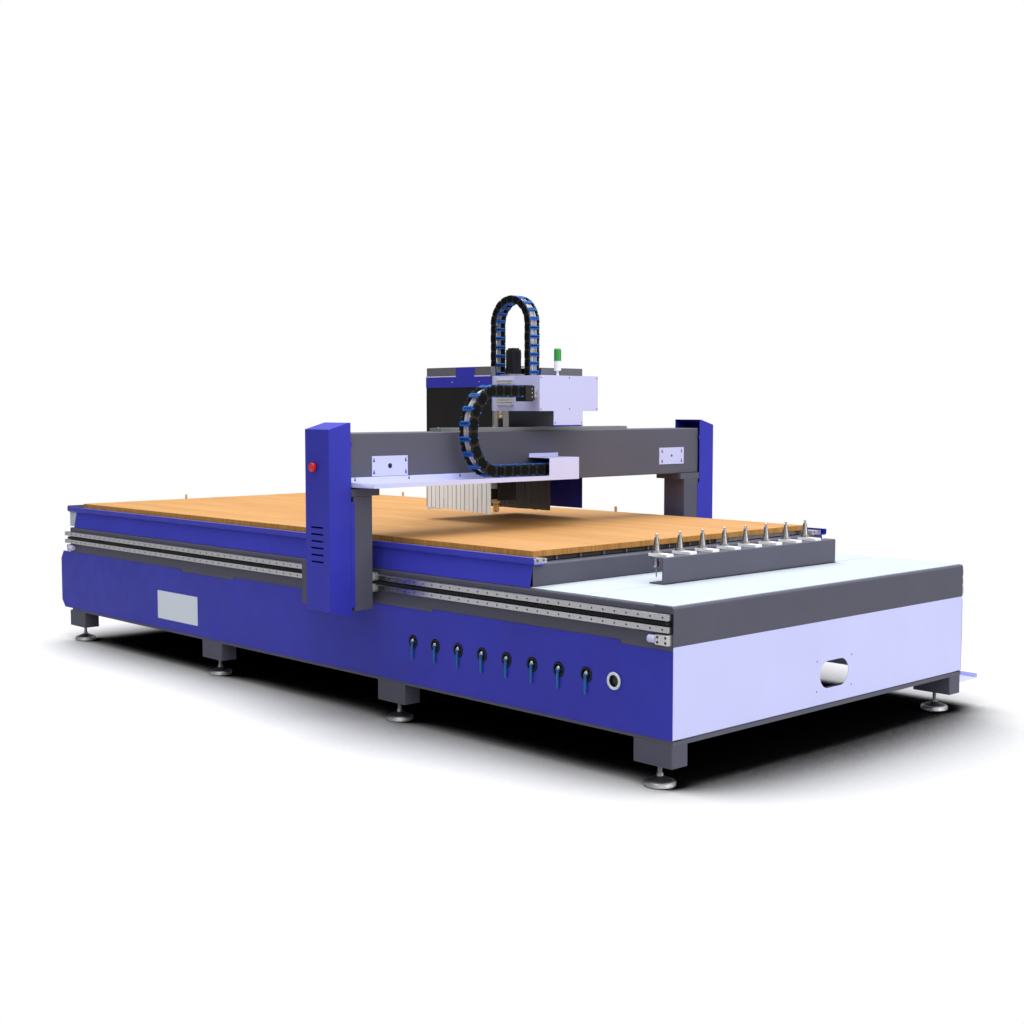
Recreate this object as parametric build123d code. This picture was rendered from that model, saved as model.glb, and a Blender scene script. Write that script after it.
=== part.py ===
from build123d import *
import math
import os

os.makedirs("parts", exist_ok=True)

# Flat-bed gantry router with a linear tool rack.
# Frame: origin on the floor under the middle of the base, +X across the bed,
# +Y along the bed away from the tool rack, +Z up. Millimetres.
# "Near" is the tool rack end (-Y), "far" is +Y, "left" is -X.

# Base
BASE_LENGTH, BASE_WIDTH = 5210.0, 2200.0    # over the side panels
NEAR_Y, FAR_Y = -BASE_LENGTH / 2, BASE_LENGTH / 2
SIDE_X = BASE_WIDTH / 2
BEAM_X = 1098.0            # outer face of the top side beams
BEAM_W = 100.0
BEAM_FAR_Y = 2472.0        # far end of the top frame
BEAM_Z0, BEAM_Z1 = 573.0, 730.0
BEAM_WALL, BEAM_ROUND = 6, 12
CROSS_X = BEAM_X - BEAM_W  # inner face of the side beams
SILL_X, SILL_W, SILL_Z1 = 1096.0, 60.0, 258.0
PANEL_T, PANEL_Z0, PANEL_Z1 = 2.0, 204.0, 572.9
LEG_Z0, LEG_Z1 = 92.5, 190.0
LEG_W, LEG_L = 98.0, 205.0
FOOT_X = 1044.0
FOOT_Y = (-2495.0, -847.0, 768.0, 2398.0)
LEG_Y = (-2502.5, *FOOT_Y[1:])
STEM_R = 9.0

# Y rails, racks and pinions
RAIL_HI, RAIL_LO = 689.5, 642.0        # rail centre heights
RACK_Z0, RACK_Z1 = 658.0, 672.0
RACK_ROOT_X = 1115.4                   # root plane of the rack teeth
RACK_PITCH_X = 1118.5
Y_MODULE, Y_TEETH = 2.5, 36
Y_PINION_X = RACK_PITCH_X + Y_MODULE * Y_TEETH / 2
Y_PINION_Y = -540.0

# Vacuum valves and port
VALVE_X = -1062.0
VALVE_Y = tuple(-1020.0 - 160.3 * i for i in range(8))
VALVE_Z = 405.0
PORT_Y, PORT_Z = -2300.0, 401.0

# Tool rack
CHANNEL_X0, CHANNEL_X1, CHANNEL_Z1 = -610.0, 697.0, 850.0
TOOL_COUNT, TOOL_X0, TOOL_PITCH = 8, -556.0, 159.3
TOOL_Y = -2047.0
TOOL_X = tuple(TOOL_X0 + TOOL_PITCH * i for i in range(TOOL_COUNT))

# Bed and table
DECK_T = 3.0
BED_X, BED_Y0, BED_Y1, BED_Z1 = 1070, -1796, 2430, 828
BED_TUBE = 80
BED_INNER_X = BED_X - BED_TUBE
TABLE_X = 1002.0                       # spoilboard half width
TABLE_Y0, TABLE_Y1 = -1725.0, 2470.0
TABLE_Z0, TABLE_Z1 = 851.0, 878.0
LOCATING_PINS = ((1025.0, -355.0), (1025.0, 1684.0), (-236.0, 2490.0))
PIN_R, PIN_HOLE_R = 8, 9.5

# Gantry
GANTRY_X = 1279.0
GANTRY_Y0, GANTRY_Y1 = -776.0, -570.0
GANTRY_Z0, GANTRY_Z1 = 1119.0, 1381.0
COLUMN_X0, COLUMN_X1 = -1267, -1158.3
COLUMN_Y1, COLUMN_Z1, COLUMN_WALL = -635, 1084, 8
COVER_IN, COVER_OUT = 1281.0, 1407.0
COVER_Y0, COVER_Y1 = -789.0, -600.0
ESTOP_Y, ESTOP_Z = -675.0, 1223.0
SHELF_Z = 1130                         # top of the chain shelf floor

# Carriage and head
X_RAIL_Z = (1154.5, 1356.5)
X_RAIL_H = 23
X_PINION_X, X_PINION_Z = 250.0, 1218.4
HEAD_X0, HEAD_X1 = -183.0, 520.0
HEAD_Y0, HEAD_Y1 = -560.0, -27.0
HEAD_Z1 = 1669                         # top of the head panels
SPINDLE_X, SPINDLE_Y = 40.0, -358.0
SCREW_Y = -499.0
Z_RAIL_X = (-20, 100)
MOTOR_HALF = 30

# Cable chains: edges, bend centre, bend radius and link height
X_CHAIN_Y0, X_CHAIN_Y1 = -912.0, -836.0
X_CHAIN_X, X_CHAIN_Z, X_CHAIN_R, X_CHAIN_H = -467.0, 1384.0, 201.0, 60.0
X_CHAIN_BEND = 152.0                   # half width of the bend along X
Z_CHAIN_X0, Z_CHAIN_X1 = 2.0, 78.0
Z_CHAIN_Y, Z_CHAIN_Z, Z_CHAIN_R, Z_CHAIN_H = -509.5, 1952.0, 133.5, 40.0


# ------------------------------------------------------------------- helpers
def box(x0, x1, y0, y1, z0, z1):
    """Box between two corners."""
    return Pos((x0 + x1) / 2, (y0 + y1) / 2, (z0 + z1) / 2) * Box(
        abs(x1 - x0), abs(y1 - y0), abs(z1 - z0)
    )


def rod_z(x, y, z0, z1, radius):
    return Pos(x, y, (z0 + z1) / 2) * Cylinder(radius, abs(z1 - z0))


def rod_x(x0, x1, y, z, radius):
    return Pos((x0 + x1) / 2, y, z) * Rot(0, 90, 0) * Cylinder(radius, abs(x1 - x0))


def rod_y(x, y0, y1, z, radius):
    return Pos(x, (y0 + y1) / 2, z) * Rot(90, 0, 0) * Cylinder(radius, abs(y1 - y0))


def mirrored(shape):
    """Mirror across the machine's centre plane."""
    return mirror(shape, about=Plane.YZ)


def both(*shapes):
    """The shapes and their mirror images."""
    return list(shapes) + [mirrored(shape) for shape in shapes]


def revolve_z(points, x, y):
    """Solid of revolution about a vertical axis from an (r, z) outline."""
    face = make_face(Plane.XZ * Polyline(*points, close=True))
    return Pos(x, y, 0) * revolve(face, Axis.Z, 360)


def prism_x(points, x0, x1):
    """Extrude a (y, z) outline from x0 to x1."""
    face = make_face(Plane.YZ * Polyline(*points, close=True))
    return Pos(x0, 0, 0) * extrude(face, x1 - x0, dir=(1, 0, 0))


def prism_y(points, y0, y1):
    """Extrude an (x, z) outline from y0 to y1."""
    face = make_face(Plane.XZ * Polyline(*points, close=True))
    return Pos(0, y1, 0) * extrude(face, y1 - y0, dir=(0, -1, 0))


def prism_z(points, z0, z1):
    """Extrude an (x, y) outline from z0 to z1."""
    face = make_face(Plane.XY * Polyline(*points, close=True))
    return Pos(0, 0, z0) * extrude(face, z1 - z0, dir=(0, 0, 1))


def round_along(shape, axis, radius):
    """Round the edges that run along an axis."""
    return fillet(shape.edges().filter_by(axis), radius)


def round_top(shape, axis, radius):
    """Round only the two upper edges that run along an axis."""
    return fillet(shape.edges().filter_by(axis).sort_by(Axis.Z)[-2:], radius)


def tube_x(x0, x1, y0, y1, z0, z1, wall, radius=0, rounding=round_along):
    outer = box(x0, x1, y0, y1, z0, z1)
    if radius:
        outer = rounding(outer, Axis.X, radius)
    return outer - box(x0 - 1, x1 + 1, y0 + wall, y1 - wall, z0 + wall, z1 - wall)


def tube_y(x0, x1, y0, y1, z0, z1, wall, radius=0, rounding=round_along):
    outer = box(x0, x1, y0, y1, z0, z1)
    if radius:
        outer = rounding(outer, Axis.Y, radius)
    return outer - box(x0 + wall, x1 - wall, y0 - 1, y1 + 1, z0 + wall, z1 - wall)


def gear(module, teeth, width):
    """Spur gear about Z from z=0, straight-flanked teeth thinned for backlash."""
    pitch_r = module * teeth / 2
    tip_r, root_r = pitch_r + module, pitch_r - 1.25 * module
    half_tooth = math.pi / (2 * teeth)
    # (radius, angle from the tooth centre in half teeth)
    tooth = ((root_r, -1.45), (pitch_r, -0.94), (tip_r, -0.46),
             (tip_r, 0.46), (pitch_r, 0.94), (root_r, 1.45))
    points = []
    for i in range(teeth):
        centre = 2 * math.pi * i / teeth
        for radius, offset in tooth:
            angle = centre + offset * half_tooth
            points.append((radius * math.cos(angle), radius * math.sin(angle)))
    return extrude(make_face(Polyline(*points, close=True)), width, dir=(0, 0, 1))


def cut_pin_holes(shape, z0, z1, radius):
    for x, y in LOCATING_PINS:
        shape -= rod_z(x, y, z0, z1, radius)
    return shape


def save(name, *shapes):
    """Write shapes, or lists of shapes, as one STEP file."""
    solids = []
    for shape in shapes:
        for item in shape if isinstance(shape, (list, tuple)) else [shape]:
            solids += list(item.solids())
    export_step(Compound(label=name, children=solids), "parts/" + name + ".step")


# ------------------------------------------------------------ base weldment
# Top frame: two end beams, two side beams and caps inside the end beams' mouths
END_SPANS = ((NEAR_Y, NEAR_Y + BEAM_W), (BEAM_FAR_Y - BEAM_W, BEAM_FAR_Y))
end_beams = [tube_x(-BEAM_X, BEAM_X, y0, y1, BEAM_Z0, BEAM_Z1, BEAM_WALL, BEAM_ROUND, round_top)
             for y0, y1 in END_SPANS]
side_beam = tube_y(-BEAM_X, -CROSS_X, NEAR_Y + BEAM_W, BEAM_FAR_Y - BEAM_W,
                   BEAM_Z0, BEAM_Z1, BEAM_WALL, BEAM_ROUND, round_top)
caps = []
for y0, y1 in END_SPANS:
    caps += both(box(-BEAM_X, -BEAM_X + BEAM_WALL, y0 + BEAM_WALL, y1 - BEAM_WALL,
                     BEAM_Z0 + BEAM_WALL, BEAM_Z1 - BEAM_WALL))
save("base_top_beams", end_beams, both(side_beam), caps)

# Inner frame: upper cross tubes, posts, sills, lower cross tubes and strips
SILL_IN = SILL_X - SILL_W
inner = []
for y in (-1756.0, -1100.0, -430.0, 240.0, 910.0, 1580.0, 2240.0):
    inner.append(tube_x(-CROSS_X, CROSS_X, y - 30, y + 30, 625, 725, 4))
for y in FOOT_Y:
    inner += both(box(-1092, -1032, y - 40, y + 40, SILL_Z1, BEAM_Z0))
inner += both(tube_y(-SILL_X, -SILL_IN, NEAR_Y + 4, 2468, LEG_Z1, SILL_Z1, 4))
for y in (NEAR_Y + 34, -847.0, 768.0, 2438.0):
    inner.append(tube_x(-SILL_IN, SILL_IN, y - 30, y + 30, LEG_Z1, SILL_Z1, 4))
inner += both(box(-1097.9, -1092, NEAR_Y + 5, 2468, 540, BEAM_Z0))
inner.append(box(-SILL_X, SILL_X, NEAR_Y, NEAR_Y + 3, 183, 200)
             + box(-SILL_IN, SILL_IN, NEAR_Y + 3, NEAR_Y + 4, LEG_Z1, 200))
save("base_inner_frame", inner)

# Legs, bored from below for the foot stems
legs = []
for leg_y, foot_y in zip(LEG_Y, FOOT_Y):
    leg = box(-BEAM_X, -BEAM_X + LEG_W, max(leg_y - LEG_L / 2, NEAR_Y + 3), leg_y + LEG_L / 2,
              LEG_Z0, LEG_Z1)
    leg = round_along(leg, Axis.Z, 6)
    leg -= rod_z(-FOOT_X, foot_y, LEG_Z0 - 1, LEG_Z0 + 62, STEM_R + 0.08)
    legs.append(leg)
save("base_legs", both(*legs))

# Levelling feet: pad, stem and hexagonal nut
PAD_Z1 = 40
PAD_OUTLINE = [(0, 0), (60, 0), (65, 4), (65, 17), (61, 22), (54, 24), (23, 37),  # (r, z)
               (17, PAD_Z1), (9.1, PAD_Z1), (9.1, 12), (0, 12)]
feet = []
for y in FOOT_Y:
    pad = revolve_z(PAD_OUTLINE, -FOOT_X, y)
    stem = rod_z(-FOOT_X, y, 12.5, 148, STEM_R)
    nut = Pos(-FOOT_X, y, PAD_Z1) * extrude(RegularPolygon(14, 6), 12)
    nut -= rod_z(-FOOT_X, y, 38, 80, STEM_R + 0.05)
    feet += [pad, stem, nut]
save("levelling_feet", both(*feet))

# ------------------------------------------------------------- base panels
# Side panels; the left one has holes for the valves and the port
SIDE_OUTLINE = [  # (y, z)
    (NEAR_Y, PANEL_Z0), (FAR_Y - 40, PANEL_Z0), (FAR_Y, PANEL_Z0 + 45),
    (FAR_Y, PANEL_Z1 - 50), (FAR_Y - 35, PANEL_Z1), (1086, PANEL_Z1), (1086, 558), (533, 558),
    (533, PANEL_Z1), (-420, PANEL_Z1), (-420, 560), (-1158, 560), (-1158, PANEL_Z1),
    (-2330, PANEL_Z1), (-2330, 557), (NEAR_Y, 557)]
left_panel = prism_x(SIDE_OUTLINE, -SIDE_X, -SIDE_X + PANEL_T)
right_panel = mirrored(left_panel)
for y in VALVE_Y:
    left_panel -= rod_x(-SIDE_X - 1, -SIDE_X + 4, y, VALVE_Z, 33)
left_panel -= rod_x(-SIDE_X - 1, -SIDE_X + 4, PORT_Y, PORT_Z, 27)
save("side_panel_left", left_panel)
save("side_panel_right", right_panel)

# End panels, each with a round-ended slot
SLOT_X, SLOT_Z, SLOT_R = 48.5, 333, 60.5
END_PANEL_Y = 2470
slot_y0, slot_y1 = NEAR_Y - 5, NEAR_Y + 10
slot = (box(-SLOT_X, SLOT_X, slot_y0, slot_y1, SLOT_Z - SLOT_R, SLOT_Z + SLOT_R)
        + rod_y(-SLOT_X, slot_y0, slot_y1, SLOT_Z, SLOT_R)
        + rod_y(SLOT_X, slot_y0, slot_y1, SLOT_Z, SLOT_R))
near_panel = box(-1097, 1097, NEAR_Y, NEAR_Y + PANEL_T, 206, 572.8) - slot
far_panel = box(-1097, 1097, END_PANEL_Y, END_PANEL_Y + PANEL_T, 206, 572.8)
far_panel -= Pos(0, END_PANEL_Y + 1 - NEAR_Y, 0) * slot
save("end_panels", near_panel, far_panel)

save("name_plate", round_along(box(-1101.5, -SIDE_X, 910, 1357, 262, 427), Axis.X, 6))

# Deck: two sheets under the tool rack, and a top, back and sides at the far end
DECK_Z1 = BEAM_Z1 + DECK_T
near_decks = [box(-1085, 1085, y0, y1, BEAM_Z1, DECK_Z1)
              for y0, y1 in ((NEAR_Y + 15, -2117), (-2113, -1798))]
far_top = cut_pin_holes(box(-BED_X, BED_X, 2432, 2530, 824, 827), 820, 830, PIN_HOLE_R)
far_back = box(-BED_X, BED_X, 2527, 2530, 735, 824)
far_side = box(-BED_X, -BED_X + 3, 2432, 2527, 735, 824)
save("deck_plates", near_decks, far_top, far_back, both(far_side))

# --------------------------------------------------------------- tool rack
# Channel, open towards +Y, with its two back corners rounded
CHANNEL_BACK = -2133
CHANNEL_OUTLINE = [  # (y, z)
    (CHANNEL_BACK, DECK_Z1), (-2055, DECK_Z1), (-2055, 739), (-2127, 739),
    (-2127, 844), (-2075, 844), (-2075, CHANNEL_Z1), (CHANNEL_BACK, CHANNEL_Z1)]
channel = prism_x(CHANNEL_OUTLINE, CHANNEL_X0, CHANNEL_X1)
channel = fillet(channel.edges().filter_by(Axis.X).filter_by(
    lambda e: abs(e.center().Y - CHANNEL_BACK) < 0.1), 5.5)
save("tool_rack_channel", channel)

# Forks, with a U-shaped mouth towards +Y, and the holders in them
FORK_HALF, MOUTH_R, FORK_T = 25, 16.5, 12
HOLDER_OUTLINE = [  # (r, z)
    (0, 757), (2.5, 758), (2.5, 800), (12, 800), (14, 803), (14, 828), (12, 831),
    (12, 838), (22, 838), (22, 847), (20, 849.8), (16.3, 849.8), (16.3, 862.2),
    (20, 862.2), (22, 865), (22, 874), (17, 874), (9, 932), (5, 932), (5, 940),
    (7, 942), (7, 947), (4.5, 950), (0, 950)]
forks = []
for x in TOOL_X:
    fork = box(x - FORK_HALF, x + FORK_HALF, -2127, -2020, CHANNEL_Z1, CHANNEL_Z1 + FORK_T)
    fork = round_along(fork, Axis.Z, 4)
    fork -= (rod_z(x, TOOL_Y, 840, 870, MOUTH_R)
             + box(x - MOUTH_R, x + MOUTH_R, TOOL_Y, -2010, 840, 870))
    forks.append(fork)
save("tool_forks", forks)
save("tool_holders", [revolve_z(HOLDER_OUTLINE, x, TOOL_Y) for x in TOOL_X])

# ----------------------------------------------------- Y guides and racks
RAIL_OUTLINE = [  # (x, height from the rail centre)
    (-BEAM_X, -12.5), (-BEAM_X, 12.5), (-1108, 12.5), (-1110.5, 9.5), (-1114, 9.5),
    (-1117, 12.5), (-1120, 12.5), (-1121, 11.5), (-1121, -11.5), (-1120, -12.5),
    (-1117, -12.5), (-1114, -9.5), (-1110.5, -9.5), (-1108, -12.5)]
save("y_rails", both(*[prism_y([(x, centre + z) for x, z in RAIL_OUTLINE], NEAR_Y + 10, 2505)
                       for centre in (RAIL_HI, RAIL_LO)]))
save("y_racks", both(box(-RACK_ROOT_X, -BEAM_X, NEAR_Y + 15, 2470, RACK_Z0, RACK_Z1)))

# End stops: a block and a round buffer at each end of each side
STOP_X, STOP_Z, STOP_R, STOP_STEM_R = -1115, 601, 16, 6
STOP_BORE_R = STOP_STEM_R + 0.1
near_block = (box(-1124, -BEAM_X, NEAR_Y + 9, NEAR_Y + 72, 580, 621)
              - rod_y(STOP_X, NEAR_Y + 40, NEAR_Y + 73, STOP_Z, STOP_BORE_R))
near_block = fillet(near_block.edges().filter_by(Axis.Y).filter_by(
    lambda e: e.center().X < -1120), 3)
near_buffer = (rod_y(STOP_X, NEAR_Y + 72, NEAR_Y + 112, STOP_Z, STOP_R)
               + rod_y(STOP_X, NEAR_Y + 44, NEAR_Y + 73, STOP_Z, STOP_STEM_R))
near_buffer = chamfer(near_buffer.edges().filter_by(GeomType.CIRCLE).sort_by(Axis.Y)[-1], 4)
far_block = (box(-1124, -BEAM_X, 2442, 2472, 580, 621)
             - rod_y(STOP_X, 2441, 2462, STOP_Z, STOP_BORE_R))
far_buffer = (rod_y(STOP_X, 2402, 2442, STOP_Z, STOP_R)
              + rod_y(STOP_X, 2442, 2458, STOP_Z, STOP_STEM_R))
save("end_stops", both(near_block, near_buffer, far_block, far_buffer))

# ------------------------------------------------- vacuum zones and valves
valves = []
for y in VALVE_Y:
    valve = rod_z(VALVE_X, y, 332, 452, 17) + rod_x(-1084, -1042, y, VALVE_Z, 26)
    valve += rod_z(VALVE_X, y, 332, 344, 23) + rod_z(VALVE_X, y, 440, 452, 23)
    valve -= rod_x(-1085, -1070, y, VALVE_Z, 6.05)
    valves.append(valve)
save("valve_bodies", valves)

# Levers: spindle, hub and a hanging arm with a round end
LEVER_END_Z = 330
for i, y in enumerate(VALVE_Y):
    lever = rod_x(-1112, -1072, y, VALVE_Z, 6) + rod_x(-1109, -1104, y, VALVE_Z, 9.5)
    lever += box(-1108, -1105, y - 7, y + 7, LEVER_END_Z, VALVE_Z)
    lever += rod_x(-1108, -1105, y, LEVER_END_Z, 7)
    save(f"valve_lever_{i + 1}", lever)

# Manifold: closed pipe with a riser to the flanged port
pipe = rod_y(VALVE_X, -2345, -960, 300, 32) + rod_z(VALVE_X, PORT_Y, 300, 432, 26)
pipe += (rod_x(-SIDE_X, -1040, PORT_Y, PORT_Z, 26)
         + rod_x(-1106, -SIDE_X - 0.05, PORT_Y, PORT_Z, 36))
pipe += rod_x(-1102, -1097, PORT_Y, PORT_Z, 26)
pipe -= rod_y(VALVE_X, -2335, -970, 300, 28)
pipe -= rod_x(-1107, -1050, PORT_Y, PORT_Z, 22)
save("vacuum_manifold", pipe)

# --------------------------------------------------------------------- bed
# Frame: end tubes, side tubes, cross tubes and a T-shaped strip at the far end
bed = [tube_x(-BED_X, BED_X, y, y + BED_TUBE, BEAM_Z1, BED_Z1, 5, 6)
       for y in (BED_Y0, BED_Y1 - BED_TUBE)]
bed_side = tube_y(-BED_X, -BED_INNER_X, BED_Y0 + BED_TUBE, BED_Y1 - BED_TUBE,
                  BEAM_Z1, BED_Z1, 5)
bed += [cut_pin_holes(shape, 800, 840, 10) for shape in both(bed_side)]
for y in (-1100.0, -430.0, 240.0, 910.0, 1580.0):
    bed.append(tube_x(-BED_INNER_X, BED_INNER_X, y - 40, y + 40, BED_Z1 - BED_TUBE, BED_Z1, 4))
bed.append(box(-1067.5, 1067.5, 2523, 2527, 830.2, 859.2) + box(-1086, 1086, 2523, 2529, 859.1, 868))
save("bed_frame", bed)

# Sloping skirt and folded rim on each side; outlines are (x, z)
SKIRT_OUTLINE = [(-1073, BED_Z1), (-1092, 731), (-1089, 731), (-1070.5, BED_Z1)]
RIM_OUTLINE = [(-1010, BED_Z1), (-1079, BED_Z1), (-1087, 836), (-1087, 859), (-1068, 859),
               (-1068, 857), (-1085, 857), (-1085, 836.8), (-1078.2, 830), (-1010, 830)]
skirt = prism_y(SKIRT_OUTLINE, BED_Y0, BED_Y1)
rim = prism_y(RIM_OUTLINE, -1815, 2530)
save("bed_side_sheets", skirt, rim, mirrored(skirt),
     cut_pin_holes(mirrored(rim), 820, 840, PIN_HOLE_R))

# Vacuum table: T-slotted profile on each side and a grooved plate between them
GROOVE_Z0 = 846
profile = box(-1062, -986, BED_Y0, BED_Y1, 830, TABLE_Z0)
for x in (-1043, -1005):
    profile -= box(x - 4, x + 4, -1800, 2440, GROOVE_Z0, 860)
    profile -= box(x - 8, x + 8, -1800, 2440, 838, 847)
right_profile = cut_pin_holes(mirrored(profile), 820, 860, PIN_HOLE_R)
PLATE_X, PLATE_Y0 = 984, -1690
plate = box(-PLATE_X, PLATE_X, PLATE_Y0, BED_Y1, BED_Z1, TABLE_Z0)
for i in range(-6, 7):
    plate -= box(i * 150 - 5, i * 150 + 5, -1700, 2440, GROOVE_Z0, 860)
# Teeth along the near edge; the first is flush with the plate's left side
plate += box(-PLATE_X, -PLATE_X + 6, -1703, PLATE_Y0, 829, TABLE_Z0)
for i in range(1, 13):
    x = -PLATE_X + 153.6 * i
    plate += box(x - 3, x + 3, -1703, PLATE_Y0, 829, TABLE_Z0)
plate += box(300, PLATE_X, -1699, PLATE_Y0, 829, TABLE_Z0)
save("vacuum_table", profile, right_profile, plate)

board = box(-TABLE_X, TABLE_X, TABLE_Y0, TABLE_Y1, TABLE_Z0, TABLE_Z1)
board = chamfer(board.edges().filter_by(lambda e: abs(e.center().Z - TABLE_Z1) < 0.1), 1)
save("spoilboard", board)

# Locating pins and the sleeves they slide in
sleeves, pins = [], []
for x, y in LOCATING_PINS:
    bottom = TABLE_Z0 if x > 0 else 827.0
    sleeves.append(rod_z(x, y, bottom, 868, 15) - rod_z(x, y, bottom - 1, 870, PIN_R + 0.06))
    pin = rod_z(x, y, 846, 908, PIN_R)
    pins.append(chamfer(pin.edges().filter_by(GeomType.CIRCLE).sort_by(Axis.Z)[-1], 1.5))
save("locating_pin_cylinders", sleeves)
save("locating_pins", pins)

# Chain tray on the right side, with triangular gussets below; outlines are (x, z)
TRAY_OUTLINE = [(BEAM_X, 143), (1270, 143), (1270, 166), (1267, 166), (1267, 146),
                (1101, 146), (1101, 197), (BEAM_X, 197)]
GUSSET_OUTLINE = [(BEAM_X, 104), (1260, 142.9), (BEAM_X, 142.9)]
save("chain_tray", prism_y(TRAY_OUTLINE, -2600, 2300),
     [prism_y(GUSSET_OUTLINE, y - 2, y + 2) for y in (-2440.0, -847.0, 768.0)])

# ------------------------------------------------------------------ gantry
save("gantry_beam",
     tube_x(-GANTRY_X, GANTRY_X, GANTRY_Y0, GANTRY_Y1, GANTRY_Z0, GANTRY_Z1, 8, 6))

# Columns with top blocks; the right column has an inner pad
column = (box(COLUMN_X0, COLUMN_X1, COVER_Y0, COLUMN_Y1, 542, COLUMN_Z1)
          - box(COLUMN_X0 + COLUMN_WALL, COLUMN_X1 - COLUMN_WALL,
                COVER_Y0 + COLUMN_WALL, COLUMN_Y1 - COLUMN_WALL, 540, 1090))
column_top = box(-GANTRY_X, -1112, COVER_Y0, COVER_Y1, COLUMN_Z1, GANTRY_Z0)
column_pad = box(1142, 1158.4, COVER_Y0, COLUMN_Y1, 762, COLUMN_Z1)
save("gantry_columns", column, mirrored(column) + column_pad, both(column_top))

# Y carriages: a notched plate and four bearing blocks on each side
carriage = box(-1158, -1138, -742, -385, 545, 760) - box(-1159, -1137, -592, -488, 640, 761)
carriage = fillet(carriage.edges().filter_by(Axis.X).filter_by(
    lambda e: e.center().Z < 546), 12)
carriage += box(-1158, -1138, -397, -205, 513, 738)
bearings = []
for y0, y1 in ((-760, -690), (-475, -385)):
    for z0, z1, rail_z in ((672.6, 712.5, RAIL_HI), (619, 657.4, RAIL_LO)):
        bearings.append(box(-1138, -1104, y0, y1, z0, z1)
                        - box(-1121.4, -1100, y0 - 1, y1 + 1, rail_z - 12.9, rail_z + 12.9))
save("y_carriages", both(carriage, *bearings))

# Column covers: thin shells with flanges and vent slots; outlines are (x, z)
COVER_OUTLINE = [(-COVER_IN, 518), (-1295, 518), (-COVER_OUT, 550), (-COVER_OUT, 1400),
                 (-1294, 1431), (-COVER_IN, 1431)]
COVER_HOLLOW = [(-COVER_IN + 5, 520), (-1295, 520), (-COVER_OUT + 2, 551.6),
                (-COVER_OUT + 2, 1398.6), (-1294, 1429), (-COVER_IN + 5, 1429)]
cover = (prism_y(COVER_OUTLINE, COVER_Y0, COVER_Y1)
         - prism_y(COVER_HOLLOW, COVER_Y0 + 2, COVER_Y1 - 2))
for x0, x1, z0, z1 in ((-COVER_IN, -1262, 560, 1060), (-COVER_IN - 3, -COVER_IN, 560, 1060),
                       (-COVER_IN - 3, -1273, 1318, 1340)):
    cover += box(x0, x1, COVER_Y0 - 2, COVER_Y0, z0, z1)
for i in range(6):
    z = 775 + 32.4 * i
    cover -= box(-COVER_OUT - 2, -COVER_OUT + 6, -739, -643, z, z + 8)
save("cover_left", cover - rod_x(-COVER_OUT - 2, -COVER_OUT + 6, ESTOP_Y, ESTOP_Z, 11))
save("cover_right", mirrored(cover))

# Chain shelf on the near side of the beam, with an open box at its right end
shelf = prism_z([(-1272, GANTRY_Y0), (-1258, -936), (103, -936), (103, GANTRY_Y0)],
                SHELF_Z - 3, SHELF_Z)
shelf_lip = box(-1258, 103, -936, -934, SHELF_Z, 1150)
box_near = box(-116, 103, -936, -934, 1150, 1242)
end_lip = prism_z([(-1272, -779), (-1258.2, -934), (-1256.2, -934), (-1270, -779)], SHELF_Z, 1150)
box_top = box(-116, 103, -934, -779, 1240, 1242)
box_right = box(101, 103, -934, -779, SHELF_Z, 1240)
shelf_back = box(-1272, 103, -779, GANTRY_Y0, SHELF_Z, 1173)
box_back = box(-110, 104, -779, GANTRY_Y0, 1240, 1262)
save("chain_shelf", shelf + shelf_lip + box_near, end_lip, box_top, box_right, shelf_back,
     box_back)

# Two plates with a hole on the beam's near face, and a strip on its top
face_plate = box(-1148, -931, -779, GANTRY_Y0, 1175, 1271) - rod_y(-1040, -780, -775, 1223, 8)
save("beam_plates", both(face_plate), box(-688, 688, -745, -655, GANTRY_Z1, GANTRY_Z1 + 18))

# X rails, grooved above and below, and the rack between them
x_rails = []
for z in X_RAIL_Z:
    x_rails.append(box(-1250, 1250, GANTRY_Y1, GANTRY_Y1 + X_RAIL_H,
                       z - X_RAIL_H / 2, z + X_RAIL_H / 2)
                   - box(-1260, 1260, GANTRY_Y1 + 10, GANTRY_Y1 + 15, z + 9, z + 12)
                   - box(-1260, 1260, GANTRY_Y1 + 10, GANTRY_Y1 + 15, z - 12, z - 9))
x_rails.append(box(-1250, 1250, GANTRY_Y1, GANTRY_Y1 + 14, 1239.9, 1262))
save("x_rails_rack", x_rails)

# Y motors: gearbox, body, cap and a U-shaped bracket
gearbox = (box(-Y_PINION_X - 39, -Y_PINION_X + 39, Y_PINION_Y - 40, Y_PINION_Y + 40, 690, 745)
           - rod_z(-Y_PINION_X, Y_PINION_Y, 680, 712, 8.05))
motor = box(-Y_PINION_X - 39, -Y_PINION_X + 39, Y_PINION_Y - 39, Y_PINION_Y + 39, 745, 812)
motor = round_along(motor, Axis.Z, 6)
motor_cap = rod_z(-Y_PINION_X, Y_PINION_Y, 812, 830, 34)
bracket = (box(-1209, -1202.6, -620, -460, 690, 745) + box(-1209, -1158, -620, -594, 690, 745)
           + box(-1209, -1158, -486, -460, 690, 745))
save("y_motors", both(gearbox + motor + motor_cap, bracket))

for side, x in (("left", -Y_PINION_X), ("right", Y_PINION_X)):
    pinion = Pos(x, Y_PINION_Y, 659) * (gear(Y_MODULE, Y_TEETH, 12) - Cylinder(4, 40))
    pinion += rod_z(x, Y_PINION_Y, 659, 708, 8)
    save("y_pinion_" + side, pinion)


# Emergency stop on the left cover
def estop_disc(x0, x1, radius):
    """Disc on the stop's axis; x is measured inwards from the cover's outer face."""
    return rod_x(-COVER_OUT + x0, -COVER_OUT + x1, ESTOP_Y, ESTOP_Z, radius)


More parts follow.
